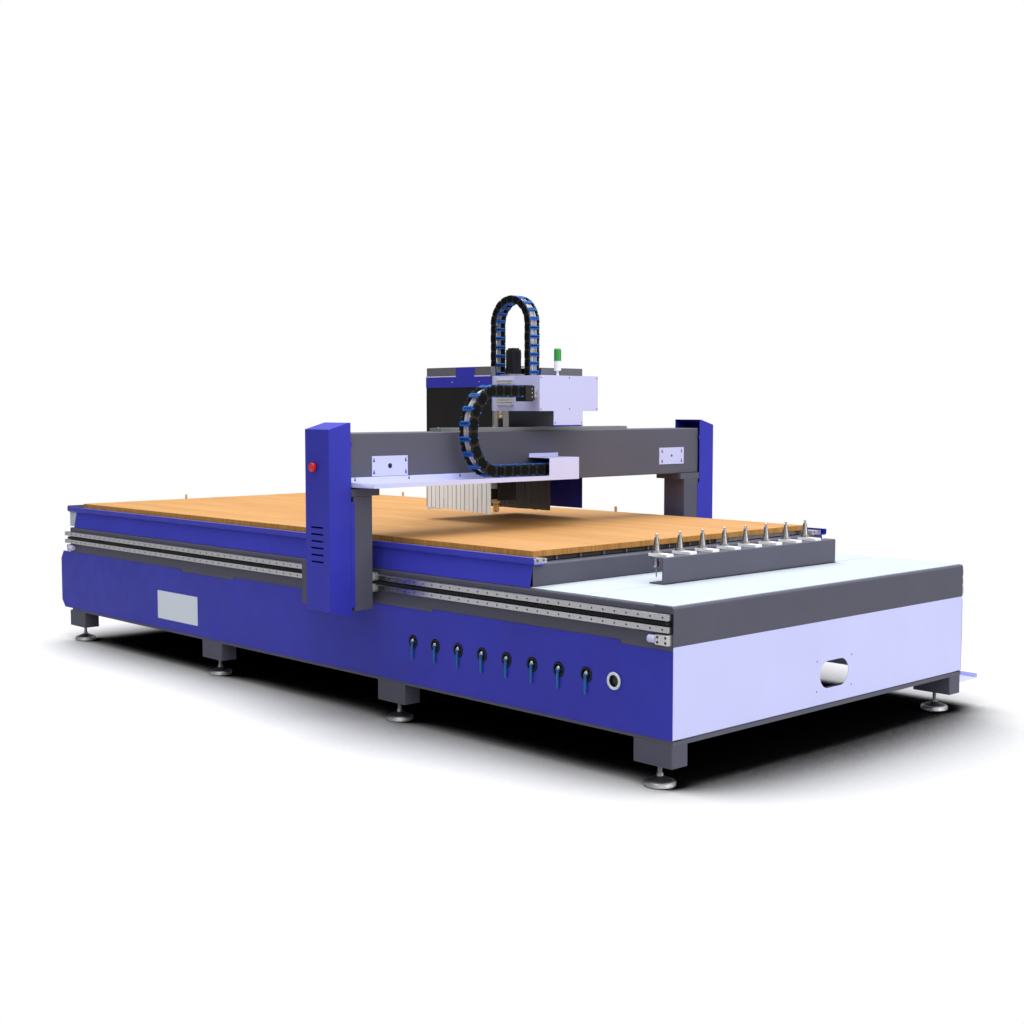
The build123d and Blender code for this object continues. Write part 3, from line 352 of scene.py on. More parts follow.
MATERIALS = {
    "blue": paint("blue_powder_coat", BLUE),
    "lavender": paint("lavender_paint", LAVENDER, cloud=0.02),
    "deck": paint("deck_paint", (0.49, 0.545, 0.605), roughness=0.46, cloud=0.02, specular=0.12),
    "pale": paint("pale_plate_paint", (0.66, 0.72, 0.80), cloud=0.02),
    "dark": paint("dark_grey_texture_coat", DARK, roughness=0.50, relief=0.22, grain=420,
                  specular=0.18),
    "grey": paint("mid_grey_paint", (0.12, 0.12, 0.14), roughness=0.40),
    "black": plastic("black_moulded_plastic", (0.018, 0.018, 0.021), roughness=0.42),
    "black sheet": paint("black_sheet_paint", (0.014, 0.014, 0.016), roughness=0.40, cloud=0.15),
    "chain": plastic("chain_black_nylon", (0.017, 0.0165, 0.016), roughness=0.40, grain=900,
                     specular=0.25),
    # darker copy of the chain plastic on the bosses so the plate rims read as lighter lines:
    # painted highlight
    "chain boss": plastic("chain_boss_darker_for_painted_highlight", (0.0042, 0.0041, 0.0040), roughness=0.42,
                          grain=900, specular=0.10),
    "chain bar": plastic("chain_blue_nylon", (0.008, 0.125, 0.50), roughness=0.50, grain=900),
    # edge lines for the curtain strips: painted highlight and painted shadow
    "light edge": plastic("strip_edge_painted_highlight", (0.50, 0.50, 0.51)),
    "dark edge": plastic("strip_edge_shadow", (0.16, 0.16, 0.17)),
    "cable": plastic("cable_grey_jacket", (0.55, 0.53, 0.57), roughness=0.40, grain=1500),
    "warm cable": plastic("cable_warm_grey_jacket", (0.42, 0.38, 0.40), roughness=0.42,
                          grain=1500),
    "lever": plastic("lever_blue_plastic", (0.018, 0.13, 0.38), roughness=0.38),
    "red": plastic("stop_button_red", (0.72, 0.010, 0.012), roughness=0.28, coat=0.6, cloud=0.05),
    "white": plastic("fork_white_plastic", (0.86, 0.86, 0.87), roughness=0.36, cloud=0.02),
    "rubber": plastic("bumper_rubber", (0.56, 0.57, 0.85), roughness=0.5, cloud=0.04),
    "steel": steel("ground_steel"),
    "y steel": steel("ground_rail_steel", (0.60, 0.60, 0.62), roughness=0.26,
                     stretch=(60, 1, 60)),
    "x steel": steel("ground_x_rail_steel", (0.58, 0.58, 0.60), roughness=0.26),
    "bright": steel("bright_turned_steel", (0.72, 0.72, 0.74), roughness=0.2,
                    stretch=(30, 30, 220), relief=0.08),
    "aluminium": steel("anodised_aluminium", (0.55, 0.55, 0.56), roughness=0.42,
                       stretch=(50, 1, 50), relief=0.08, metallic=0.55),
    "brass": steel("turned_brass", (0.86, 0.58, 0.26), roughness=0.34, stretch=(30, 30, 260),
                   relief=0.1, metallic=0.6),
    "screw": steel("zinc_screw", (0.50, 0.50, 0.52), roughness=0.3, stretch=(40, 40, 40),
                   relief=0.1),
    "dark screw": steel("blackened_screw", (0.035, 0.035, 0.04), roughness=0.45,
                        stretch=(40, 40, 40), relief=0.1, metallic=0.3),
    "wood": wood(),
    "foot": by_height("levelling_foot", [
        (None, (0.66, 0.66, 0.67), 0.22, 1.0),
        (0.0238, (0.015, 0.015, 0.016), 0.32, 0.0),
        (0.0402, (0.55, 0.55, 0.56), 0.28, 1.0)], threads=150),
    "lamp": by_height("signal_lamp", [
        (None, (0.86, 0.86, 0.87), 0.35, 0.0),
        (1.7522, (0.035, 0.33, 0.040), 0.25, 0.0)]),
    "holder": by_height("tool_holder_metal", [
        (None, (0.50, 0.50, 0.50), 0.3, 1),
        (0.783, (0.60, 0.60, 0.62), 0.3, 1),
        (0.8115, (0.42, 0.42, 0.44), 0.3, 1),
        (0.838, (0.55, 0.55, 0.57), 0.25, 1),
        (0.8499, (0.3, 0.3, 0.32), 0.3, 1),
        (0.862, (0.55, 0.55, 0.57), 0.25, 1),
        (0.8745, (0.66, 0.65, 0.64), 0.22, 1)]),
    "stops": end_stops(),
    "beams": two_finishes("beam_coat_with_black_rail_seat", band_at_rail_heights,
                          DARK, (0.009, 0.009, 0.011)),
    # near-black near end face of the table: painted shade
    "table": two_finishes("table_extrusions", table_end_painted_shade, (0.50, 0.50, 0.52),
                          (0.018, 0.018, 0.022), roughness=(0.4, 0.5), metallic=(0.5, 0.0)),
    "carriages": two_finishes("carriage_coat_and_blocks", rail_blocks, DARK, (0.56, 0.56, 0.56),
                              roughness=(0.5, 0.35), metallic=(0.0, 0.6)),
    # dark grey back plate in the cavity: painted shade
    "x plate": two_finishes("carriage_plate_and_recess_painted_shade", plate_recess_painted_shade, (0.42, 0.42, 0.42),
                            (0.095, 0.098, 0.115), roughness=(0.42, 0.55), metallic=(0.5, 0.0)),
    "z slide": two_finishes("z_slide_finish", below(1.1295, 1.1305), (0.52, 0.52, 0.53),
                            (0.012, 0.012, 0.013), roughness=(0.4, 0.5), metallic=(0.5, 0.0)),
    "spindle": two_finishes("spindle_finish", below(1.055, 1.057), (0.52, 0.52, 0.53),
                            (0.012, 0.012, 0.013), roughness=(0.4, 0.5), metallic=(0.5, 0.0)),
    # the pale side strips glow with emission: painted light
    "strip": clear_strip("curtain_pvc_side", (0.66, 0.68, 0.70), alpha=0.84, painted_glow=0.26),
    "smoked strip": clear_strip("curtain_pvc_smoked", (0.115, 0.125, 0.150), alpha=0.90),
    "cladding": head_cladding(),
    "electrics": electrics_box(),
    "plates": two_finishes("beam_plate_finish", above_band(1.379, 1.3805), LAVENDER,
                           (0.30, 0.31, 0.30), roughness=(0.45, 0.4), metallic=(0.0, 0.4)),
}

# material: the CAD pieces that wear it
PIECES = {
    "beams": "base_top_beams",
    "dark": "base_inner_frame base_legs tool_rack_channel bed_frame gantry_beam gantry_columns",
    "foot": "levelling_feet",
    "blue": "side_panel_left side_panel_right bed_side_sheets cover_left cover_right",
    "lavender": "end_panels chain_tray chain_shelf",
    "deck": "deck_plates",
    "white": "tool_forks",
    "holder": "tool_holders",
    "y steel": "y_rails",
    "black sheet": "y_racks",
    "pale": "name_plate",
    "stops": "end_stops",
    "black": "valve_bodies vacuum_manifold y_motors estop_base carriage_motors",
    "table": "vacuum_table",
    "wood": "spoilboard",
    "aluminium": "locating_pin_cylinders",
    "brass": "locating_pins spindle_tool",
    "carriages": "y_carriages",
    "plates": "beam_plates",
    "x steel": "x_rails_rack",
    "chain": "x_cable_chain z_cable_chain",
    "steel": "y_pinion_left y_pinion_right carriage_guides x_pinion",
    "red": "estop_button",
    "x plate": "x_carriage_plate",
    "electrics": "electrics_box",
    "lamp": "signal_lamp",
    "grey": "head_top_box",
    "cladding": "head_panels",
    "strip": "strip_curtain",
    "bright": "z_ball_screw",
    "z slide": "z_slide",
    "spindle": "spindle",
    "lever": " ".join("valve_lever_%d" % i for i in range(1, 9)),
}
MATERIAL_OF = {piece: key for key, pieces in PIECES.items() for piece in pieces.split()}
for name, node in NODES.items():
    node.data.materials.clear()
    node.data.materials.append(MATERIALS[MATERIAL_OF[name]])


# ------------------------------------------------------------------- geometry
class Build:
    """Collects closed shapes in one mesh, each with its own material. Sizes in mm."""

    def __init__(self, name):
        self.name, self.mesh, self.used = name, bmesh.new(), []

    def faces(self, points, faces, mat, smooth=False):
        verts = [self.mesh.verts.new((x / 1000, y / 1000, z / 1000)) for x, y, z in points]
        if mat not in self.used:
            self.used.append(mat)
        for corners in faces:
            face = self.mesh.faces.new([verts[i] for i in corners])
            face.material_index = self.used.index(mat)
            face.smooth = smooth

    def box(self, x0, x1, y0, y1, z0, z1, mat, chamfer=0.0):
        if not chamfer:
            points = [(x, y, z) for x in (x0, x1) for y in (y0, y1) for z in (z0, z1)]
            self.faces(points, [(0, 1, 3, 2), (4, 6, 7, 5), (0, 4, 5, 1), (2, 3, 7, 6),
                                (0, 2, 6, 4), (1, 5, 7, 3)], mat)
            return
        cube = bmesh.new()
        bmesh.ops.create_cube(cube, size=1.0)
        for v in cube.verts:
            v.co = Vector(((x0 + x1) / 2 + v.co.x * (x1 - x0),
                           (y0 + y1) / 2 + v.co.y * (y1 - y0),
                           (z0 + z1) / 2 + v.co.z * (z1 - z0)))
        bmesh.ops.bevel(cube, geom=list(cube.edges), offset=chamfer, segments=2,
                        affect="EDGES", profile=0.6)
        cube.verts.ensure_lookup_table()
        points = [tuple(v.co) for v in cube.verts]
        faces = [tuple(v.index for v in face.verts) for face in cube.faces]
        cube.free()
        self.faces(points, faces, mat)

    def lathe(self, origin, axis, profile, mat, segments=20, smooth=True):
        """Turn (distance along axis, radius) points; a profile off the axis makes a ring."""
        axis = Vector(axis).normalized()
        side = axis.orthogonal().normalized()
        across = axis.cross(side)
        origin = Vector(origin)
        rings, points, faces = [], [], []
        for height, radius in profile:
            count = segments if radius else 1
            rings.append(list(range(len(points), len(points) + count)))
            for i in range(count):
                angle = 2 * math.pi * i / segments
                spoke = side * math.cos(angle) + across * math.sin(angle)
                points.append(tuple(origin + axis * height + spoke * radius))
        if profile[0][1]:
            rings.append(rings[0])
        for p, q in zip(rings, rings[1:]):
            for i in range(segments):
                j = (i + 1) % segments
                if len(p) == 1:
                    faces.append((p[0], q[j], q[i]))
                elif len(q) == 1:
                    faces.append((p[i], p[j], q[0]))
                else:
                    faces.append((p[i], p[j], q[j], q[i]))
        self.faces(points, faces, mat, smooth)

    def screw(self, place, facing, r=5.0, h=2.4, mat="screw"):
        """Button-head screw with a socket."""
        self.lathe(place, facing, [
            (-0.3, 0), (-0.3, r), (h * 0.35, r), (h * 0.8, r * 0.78), (h, r * 0.5),
            (h, r * 0.42), (h * 0.35, r * 0.40), (h * 0.35, 0)], mat, 12)

    def counterbore(self, place, facing, r, h=0.5):
        """A rim, a dark recess and the bolt's socket."""
        self.lathe(place, facing, [
            (-0.3, 0), (-0.3, r), (h * 0.6, r), (h, r * 0.92), (h, r * 0.80),
            (h * 0.3, r * 0.74), (h * 0.3, r * 0.42), (h * 0.1, r * 0.36), (h * 0.1, 0)],
            "dark screw", 12)

    def tube(self, points, radius, mat, segments=8):
        """Round cable through a list of points, with closed ends."""
        line = [Vector(p) for p in points]
        verts, faces, rings = [], [], []
        side = None
        for i, point in enumerate(line):
            along = (line[min(i + 1, len(line) - 1)] - line[max(i - 1, 0)]).normalized()
            if side is None:
                side = along.orthogonal().normalized()
            else:
                side = (side - along * side.dot(along)).normalized()
            across = along.cross(side)
            rings.append(list(range(len(verts), len(verts) + segments)))
            for k in range(segments):
                angle = 2 * math.pi * k / segments
                spoke = side * math.cos(angle) + across * math.sin(angle)
                verts.append(tuple(point + spoke * radius))
        for p, q in zip(rings, rings[1:]):
            for i in range(segments):
                j = (i + 1) % segments
                faces.append((p[i], p[j], q[j], q[i]))
        faces += [tuple(reversed(rings[0])), tuple(rings[-1])]
        self.faces(verts, faces, mat, True)

    def prism(self, outline, place, start, end, mat):
        """Extrude a closed outline; place(a, b, t) gives the 3-D point."""
        n = len(outline)
        points = [place(a, b, t) for t in (start, end) for a, b in outline]
        faces = [tuple(range(n)), tuple(reversed(range(n, 2 * n)))]
        faces += [(i, i + n, (i + 1) % n + n, (i + 1) % n) for i in range(n)]
        self.faces(points, faces, mat)

    def done(self, body, slot, *replaced):
        bmesh.ops.recalc_face_normals(self.mesh, faces=self.mesh.faces)
        data = bpy.data.meshes.new(self.name)
        self.mesh.to_mesh(data)
        self.mesh.free()
        for key in self.used:
            data.materials.append(MATERIALS[key])
        obj = bpy.data.objects.new(self.name, data)
        bpy.context.scene.collection.objects.link(obj)
        if body:
            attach(obj, body)
        if replaced:
            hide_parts(*replaced)
        return obj


# ------------------------------------------------------------- cable chains
class ChainPath:
    """A chain's centre line in its own plane: straight, half turn (round or oval), straight."""

    def __init__(self, start, centre, radii, end, first_angle):
        centre = Vector(centre)
        bend = []
        for i in range(97):
            angle = first_angle - math.pi * i / 96
            bend.append(centre + Vector((radii[0] * math.cos(angle), radii[1] * math.sin(angle))))
        start, end = Vector(start), Vector(end)
        self.line = [start + (bend[0] - start) * (i / 40) for i in range(40)] + bend
        self.line += [bend[-1] + (end - bend[-1]) * (i / 40) for i in range(1, 41)]
        self.travel = [0.0]
        for a, b in zip(self.line, self.line[1:]):
            self.travel.append(self.travel[-1] + (b - a).length)
        self.total = self.travel[-1]
        first, last = (bend[0] - start).length, (end - bend[-1]).length
        self.runs = (first, self.total - first - last, last)

    def at(self, distance):
        """(point, tangent, outward normal)."""
        line, travel = self.line, self.travel
        distance = min(max(distance, 0.0), self.total - 1e-6)
        i = bisect_right(travel, distance) - 1
        part = (distance - travel[i]) / (travel[i + 1] - travel[i])
        before = (line[i + 1] - line[max(i - 1, 0)]).normalized()
        after = (line[min(i + 2, len(line) - 1)] - line[i]).normalized()
        tangent = before.lerp(after, part).normalized()
        return line[i].lerp(line[i + 1], part), tangent, Vector((-tangent.y, tangent.x))

    def links(self, counts):
        """(start, end) of each link; counts gives the links in each run."""
        stations, start = [], 0.0
        for length, count in zip(self.runs, counts):
            stations += [(start + length * i / count, start + length * (i + 1) / count)
                         for i in range(count)]
            start += length
        return stations


def chain_link(build, place, length, inset, w0, w1, height, bar_length, plate, nub):
    """One link; place(along, outward, across) gives the 3-D point."""
    h = height / 2
    plate_h = h - 0.6
    half = length / 2 + 0.17 * length / 2   # neighbouring plates overlap
    outline = []
    for first, sign in ((-math.pi / 2, 1), (math.pi / 2, -1)):
        for k in range(9):
            angle = first + math.pi * k / 8
            rounding = 0.46 * plate_h * (1 - sign * math.cos(angle))
            outline.append((sign * (half - rounding), plate_h * math.sin(angle)))
    for low, high, lift in ((w0 + inset, w0 + inset + plate, -1.3),
                            (w1 - inset - plate, w1 - inset, 1.3)):
        build.prism(outline, place, low, high, "chain")
        # raised oval boss and pivot on the outer face, darker so the plate rim reads as a painted
        # highlight: share of length, of height, of lift
        face = low if lift < 0 else high
        for share_l, share_h, rise in ((0.445, 0.90, 1.0), (0.16, 0.34, 1.6)):
            oval = [(share_l * length * math.cos(2 * math.pi * k / 20),
                     share_h * plate_h * math.sin(2 * math.pi * k / 20)) for k in range(20)]
            top = face + lift * rise
            build.prism(oval, place, min(face, top), max(face, top), "chain boss")
    # crossbars with clipped ends on both faces
    bar = bar_length / 2
    for sign in (1, -1):
        root, top = sign * (h - 5.0), sign * (h + 1.2)
        shoulder = root + (top - root) * 0.5
        build.prism([(-bar, root), (-bar, shoulder), (-bar * 0.72, top), (bar * 0.72, top),
                     (bar, shoulder), (bar, root)],
                    place, w0 + plate * 0.55, w1 - plate * 0.55, "chain bar")
        deep = root - sign * 2.5
        build.prism([(-bar * 0.35, deep), (-bar * 0.35, top), (bar * 0.35, top),
                     (bar * 0.35, deep)], place, w0 - nub, w1 + nub, "chain bar")
        low, high = top - sign * 0.2, top + sign * 0.5
        for share in (-0.22, 0.0, 0.22):
            middle = (w0 + w1) / 2 + share * (w1 - w0)
            build.prism([(-bar * 0.45, low), (-bar * 0.45, high), (bar * 0.45, high),
                         (bar * 0.45, low)], place, middle - 4, middle + 4, "chain")


def cable_chain(name, path, counts, to_3d, w0, w1, height, cables, cable_radius, **link):
    """Links along a path, w0 to w1 wide, with wavy cables inside."""
    build = Build(name)
    for i, (start, end) in enumerate(path.links(counts)):
        point, tangent, normal = path.at((start + end) / 2)

        def place(along, outward, across):
            q = point + tangent * along + normal * outward
            return to_3d(q.x, q.y, across)

        # alternate links sit a little inwards so that they nest
        chain_link(build, place, end - start, 1.3 * (i % 2), w0, w1, height, **link)
    h = height / 2
    steps = int(path.total / 16)
    for k in range(cables):
        across = (w0 + w1) / 2 + (k - (cables - 1) / 2) * ((w1 - w0 - 22) / cables)
        depth = 0.32 * h + 0.07 * h * math.sin(k * 2.1)
        points = []
        for i in range(steps + 1):
            s = path.total * i / steps
            point, _, normal = path.at(s)
            q = point + normal * (depth + 1.2 * math.sin(s / 60.0 + k))
            points.append(to_3d(q.x, q.y, across + 1.0 * math.sin(s / 80.0 + 1.7 * k)))
        build.tube(points, cable_radius, "cable" if k % 3 else "warm cable")
    return build


def x_chain():
    """In an XZ plane, bending round at its -X end."""
    path = ChainPath(start=(98, 1183), centre=(-467, 1384), radii=(152, 201), end=(-212, 1585),
                     first_angle=-math.pi / 2)
    chain = cable_chain("x_chain_links", path, (10, 8, 5), lambda a, b, w: (a, w, b),
                        w0=-912.0, w1=-836.0, height=60.0, cables=6, cable_radius=5.2,
                        bar_length=27.0, plate=6.0, nub=0.8)
    # end bracket on the box
    chain.box(-262, -211, -913, -835, 1533, 1616, "chain", 2.5)
    chain.box(-268, -205, -915.5, -912.5, 1540, 1612, "black", 0.8)
    chain.box(-211.5, -173.4, -904, -844, 1553, 1597, "aluminium", 1.0)
    for z in (1556, 1576, 1596):
        chain.screw((-222, -915.5, z), NEG_Y, r=4, h=2.0)
    for x in (-200, -184):
        chain.screw((x, -904, 1575), NEG_Y, r=4, h=2.0, mat="dark screw")
    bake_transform(chain.done(None, "chain_black", "x_cable_chain"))


def z_chain():
    """In a YZ plane, bending over at its top."""
    path = ChainPath(start=(-643, 1667.4), centre=(-509.5, 1952), radii=(133.5, 133.5),
                     end=(-376, 1470.4), first_angle=math.pi)
    chain = cable_chain("z_chain_links", path, (6, 9, 10), lambda a, b, w: (w, a, b),
                        w0=2.0, w1=78.0, height=40.0, cables=5, cable_radius=4.4,
                        bar_length=19.0, plate=7.0, nub=-1.0)
    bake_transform(chain.done(None, "chain_black", "z_cable_chain"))


x_chain()
z_chain()


# -------------------------------------------------------------- strip curtain
STRIP_WIDTH, STRIP_OVERLAP = 37.0, 2.0
STRIP_THICK = 0.7
CURTAIN_START_Y = -560.0


def strip(build, start, end, bottom, top, thick, bow, mat, normal=(1, 0)):
    """One hanging strip between two XY points, bowed towards its foot."""
    rows = 5
    points, faces = [], []
    for k in range(rows + 1):
        part = k / rows
        shift = bow * (1 - part) ** 2
        for x, y in (start, end):
            for side in (-thick / 2, thick / 2):
                points.append((x + normal[0] * (side + shift), y + normal[1] * (side + shift),
                               bottom + (top - bottom) * part))
    for k in range(rows):
        o, u = 4 * k, 4 * k + 4
        faces += [(o, o + 2, u + 2, u), (o + 1, u + 1, u + 3, o + 3),
                  (o, u, u + 1, o + 1), (o + 2, o + 3, u + 3, u + 2)]
    last = 4 * rows
    faces += [(0, 1, 3, 2), (last, last + 2, last + 3, last + 1)]
    build.faces(points, faces, mat)


def strip_spans(start, end):
    """(index, start, end) of overlapping strips; a rest under 3 mm gets none."""
    i = 0
    while start < end - 3:
        stop = min(start + STRIP_WIDTH, end)
        yield i, start, stop
        start = stop - STRIP_OVERLAP
        i += 1


def curtain():
    build = Build("curtain_strips")
    draw = random.Random(3)
    # -X side, with a dark line near each strip's +Y edge
    for i, y0, y1 in strip_spans(CURTAIN_START_Y, -27.0):
        x = -185.0 if i % 2 else -184.2
        bottom = 932 + 0.030 * (y0 + 560) + draw.uniform(0, 3)
        sway = draw.uniform(-0.4, 0.4)
        strip(build, (x, y0), (x, y1), bottom, 1118, STRIP_THICK, sway, "strip")
        strip(build, (x - 0.7, y1 - 4.5), (x - 0.7, y1 - 0.3), bottom + 1, 1118, 0.5, sway,
              "dark edge")
    # +X side, smoked
    for i, y0, y1 in strip_spans(CURTAIN_START_Y, -31.0):
        x = 263.6 if i % 2 else 262.8
        bottom = 929 + draw.uniform(0, 3)
        strip(build, (x, y0), (x, y1), bottom, 1104.6, STRIP_THICK, draw.uniform(-0.3, 0.3),
              "smoked strip")
        # edge lines of painted shadow on the strips towards -Y, of painted highlight further
        # towards +Y
        strip(build, (x - 0.7, y1 - 3.4), (x - 0.7, y1 - 1.0), bottom + 1,
              1104.4 if y0 > -300 else 980, 0.4, 0.0, "dark edge" if y0 < -250 else "light edge")
    # +Y side
    for i, x0, x1 in strip_spans(-182.0, 261.0):
        y = -25.6 if i % 2 else -26.4
        strip(build, (x0, y), (x1, y), 929 + draw.uniform(0, 4), 1124, STRIP_THICK,
              draw.uniform(-0.3, 0.3), "strip", normal=(0, 1))
    # clamping bars with screws
    build.box(-186.0, -183.6, -556, -31, 1104, 1121, "aluminium", 0.6)
    for k in range(6):
        build.screw((-186.0, -520 + k * 92, 1113), NEG_X, r=3.5, h=1.6)
    build.box(264.1, 265.6, -556, -36, 1088, 1104.5, "black sheet", 0.4)
    build.done("x_carriage", "curtain_pvc", "strip_curtain")


curtain()


# ------------------------------------------------------------- racks and rails
BASE_SIDE_X = 1124            # outer faces of the base
Y_RACK = (-2590, 2470)        # both ends
Y_RACK_ROOT_X = 1115.4        # root line of the teeth
X_RAIL = (-1250, 1250)
X_RAIL_BACK_Y = -570
X_RACK_ROOT_Z = 1239.9


def tooth_row(build, place, module, span, gap_at, low, high, mat):
    """Rack teeth: place(u, v, w) with u along the rack, v outwards from the root line."""
    pitch = math.pi * module
    first = math.ceil((span[0] - gap_at) / pitch)
    last = math.floor((span[1] - gap_at) / pitch)
    for k in range(first, last):
        u = gap_at + (k + 0.5) * pitch
        build.prism([(u - pitch * 0.40, -0.4), (u + pitch * 0.40, -0.4),
                     (u + pitch * 0.235, 1.25 * module), (u + pitch * 0.115, 2.25 * module),
                     (u - pitch * 0.115, 2.25 * module), (u - pitch * 0.235, 1.25 * module)],
                    place, low, high, mat)


def y_racks():
    racks = Build("y_racks_toothed")
    for side in (-1, 1):
        x0, x1 = sorted((side * 1098, side * Y_RACK_ROOT_X))
        racks.box(x0, x1, *Y_RACK, 658, 672, "black sheet", 0.6)
        tooth_row(racks, lambda u, v, w: (side * (Y_RACK_ROOT_X + v), u, w), 2.5, Y_RACK,
                  gap_at=-540.0, low=658.6, high=671.4, mat="black sheet")
    racks.done("base", "bare_steel", "y_racks")


def x_rails():
    rails = Build("x_rails_and_rack")
    # +Z half of the rail section: (y, height above the rail's centre line)
    half_section = [(X_RAIL_BACK_Y, 11.5), (-561, 11.5), (-559.5, 9), (-556, 9), (-553.5, 11.5),
                    (-548, 11.5), (-547, 10.5)]
    for z in (1154.5, 1356.5):
        upper = [(y, z + h) for y, h in half_section]
        lower = [(y, z - h) for y, h in half_section]
        rails.prism(lower[:1] + upper + lower[:0:-1], lambda a, b, t: (t, a, b), *X_RAIL,
                    "x steel")
        for k in range(42):
            rails.counterbore((-1230 + 60 * k, -547, z), POS_Y, r=5.5)
    rails.box(*X_RAIL, X_RAIL_BACK_Y, -556, X_RACK_ROOT_Z, 1262, "x steel", 0.5)
    tooth_row(rails, lambda u, v, w: (u, w, X_RACK_ROOT_Z - v), 2.0, X_RAIL,
              gap_at=250 - 1.571, low=-569.5, high=-556.5, mat="x steel")
    for k in range(14):
        rails.counterbore((-1170 + 180 * k, -556, 1252), POS_Y, r=5)
    rails.done("gantry", "bare_steel", "x_rails_rack")


def y_rail_bolts():
    bolts = Build("y_rail_bolts")
    for side in (-1, 1):
        for z in (689.5, 642.0):
            for k in range(81):
                bolts.counterbore((side * 1121, -2568 + 63 * k, z), (side, 0, 0), r=4.4, h=0.4)
    bolts.done("base", "bare_steel")


# --------------------------------------------------------------------- screws
GANTRY_FACE_Y = -779
HEAD_FACE_Y = -920


def panel_screws():
    screws = Build("panel_screws")
    for x, z in ((-133, 400), (133, 400), (-133, 266), (133, 266)):
        screws.screw((x, -2605, z), NEG_Y, r=3.5, h=1.6, mat="dark screw")
    for side in (-1, 1):
        x, facing = side * BASE_SIDE_X, (side, 0, 0)
        for z, y in ((591, -2586), (611, -2586), (591, -2545), (611, -2545)):
            screws.lathe((x, y, z), facing,
                         [(-0.3, 0), (-0.3, 5.6), (0.4, 5.6), (0.6, 5.0), (0.6, 0)],
                         "dark screw", 14)
        for z, y in ((591, 2450), (611, 2464)):
            screws.counterbore((x, y, z), facing, r=4.6)
        # joint strip between the two deck plates
        screws.box(side * 2, side * 1084, -2116.4, -2113.6, 730.2, 731.6, "black sheet")
    screws.done("base", "bare_steel")


def keyhole(build, x, z, r):
    """Hanging screw in a keyhole slot on the gantry's -Y face."""
    y = GANTRY_FACE_Y
    build.lathe((x, y, z), NEG_Y, [(-0.3, 0), (-0.3, r), (0.9, r), (1.5, r * 0.6), (1.5, 0)],
                "dark screw", 14)
    build.box(x - r * 0.5, x + r * 0.5, y - 0.5, y + 0.3, z + r * 0.4, z + r * 2.6, "dark screw")


def gantry_screws():
    screws = Build("gantry_screws")
    for x in (-1250, -923, -594, -265):
        keyhole(screws, x, 1160, r=4.6)
    for x in (-1137, -943, 955, 1127):
        for z in (1190, 1247):
            keyhole(screws, x, z, r=5.4)
    # round grommet
    screws.lathe((-1040, GANTRY_FACE_Y, 1223), NEG_Y,
                 [(-0.4, 7.8), (-0.4, 12.5), (0.5, 12.5), (0.9, 11.5), (0.9, 8.6)], "black", 24)
    screws.lathe((-1040, -776.4, 1223), NEG_Y, [(0, 0), (0, 7.9), (0.6, 7.9), (0.6, 0)],
                 "black", 20)
    screws.screw((94, GANTRY_FACE_Y, 1252), NEG_Y, r=3.2, h=1.6)
    for side in (-1, 1):
        # hexagonal column foot bolts
        for y in (-770, -655):
            screws.lathe((side * 1272, y, 1084), DOWN,
                         [(-0.3, 0), (-0.3, 7), (5, 7), (6, 6), (6, 0)], "dark screw", 6, False)
        # socket-head bolts on the outer sides
        for y in (-460, -430, -400):
            for z in (560, 600, 735):
                screws.lathe((side * 1158, y, z), (side, 0, 0),
                             [(-0.3, 0), (-0.3, 6.5), (5.4, 6.5), (6, 5.9), (6, 3.4),
                              (3.4, 3.2), (3.4, 0)], "dark screw", 12)
    for k in range(8):
        screws.screw((-670 + 191 * k, -700, 1399), UP, r=5.0, h=2.2)
    screws.done("gantry", "bare_steel")


def carriage_screws():
    screws = Build("carriage_screws")
    for x, z in ((-163, 1656), (45, 1656), (252, 1656), (-163, 1494), (252, 1494), (48, 1494),
                 (138, 1423), (-60, 1423)):
        screws.screw((x, HEAD_FACE_Y, z), NEG_Y, r=3.8, h=1.6, mat="dark screw")
    for y in (-470, -250):
        screws.screw((-186, y, 1640), NEG_X, r=4.0, h=2.0)
    for y in (-530, -290, -60):
        for z in (1640, 970):
            screws.screw((520, y, z), POS_X, r=4.2, h=2.0)
    for x in (-150, 60, 270, 480):
        for z in (1640, 1145):
            screws.screw((x, -27, z), POS_Y, r=4.2, h=2.0)
    for x in (-165, 100, 300, 500):
        screws.screw((x, -40, 1720), UP, r=4.0, h=1.8)
    # lavender strip above the blue band: painted highlight of its lit top edge
    for y0, y1 in ((-560, -432), (-281, -27)):
        screws.box(-186.9, -185.6, y0, y1, 1668, 1673.5, "lavender", 0.3)
    screws.done("x_carriage", "bare_steel")


# ---------------------------------------------------------- Z drive and spindle
Z_SCREW_X, Z_SCREW_Y = 40, -499
SPINDLE_X, SPINDLE_Y = 40, -358
THREAD_PITCH, THREAD_TURNS, STEPS_PER_TURN = 10, 50, 16


def z_motor_fins():
    fins = Build("z_motor_fins")
    offsets = [6.5 * k - 26 for k in range(9)]
    z0, z1 = 1690, 1806
    for offset in offsets:
        x = Z_SCREW_X + offset
        for y0, y1 in ((-530.6, -528.0), (-470.0, -467.4)):
            fins.box(x - 1.3, x + 1.3, y0, y1, z0, z1, "black", 0.4)
    for offset in offsets:
        y = Z_SCREW_Y + offset
        for x0, x1 in ((8.4, 11.0), (69.0, 71.6)):
            fins.box(x0, x1, y - 1.3, y + 1.3, z0, z1, "black", 0.4)
    # connector and cable on the +X side
    fins.box(72, 84, -515, -485, 1770, 1800, "black", 1.5)
    fins.tube([(80, -500, 1770), (86, -500, 1752), (86, -500, 1735), (84, -505, 1724),
               (84, -540, 1722)], 4.5, "warm cable", 10)
    fins.done("x_carriage", "black_plastic")


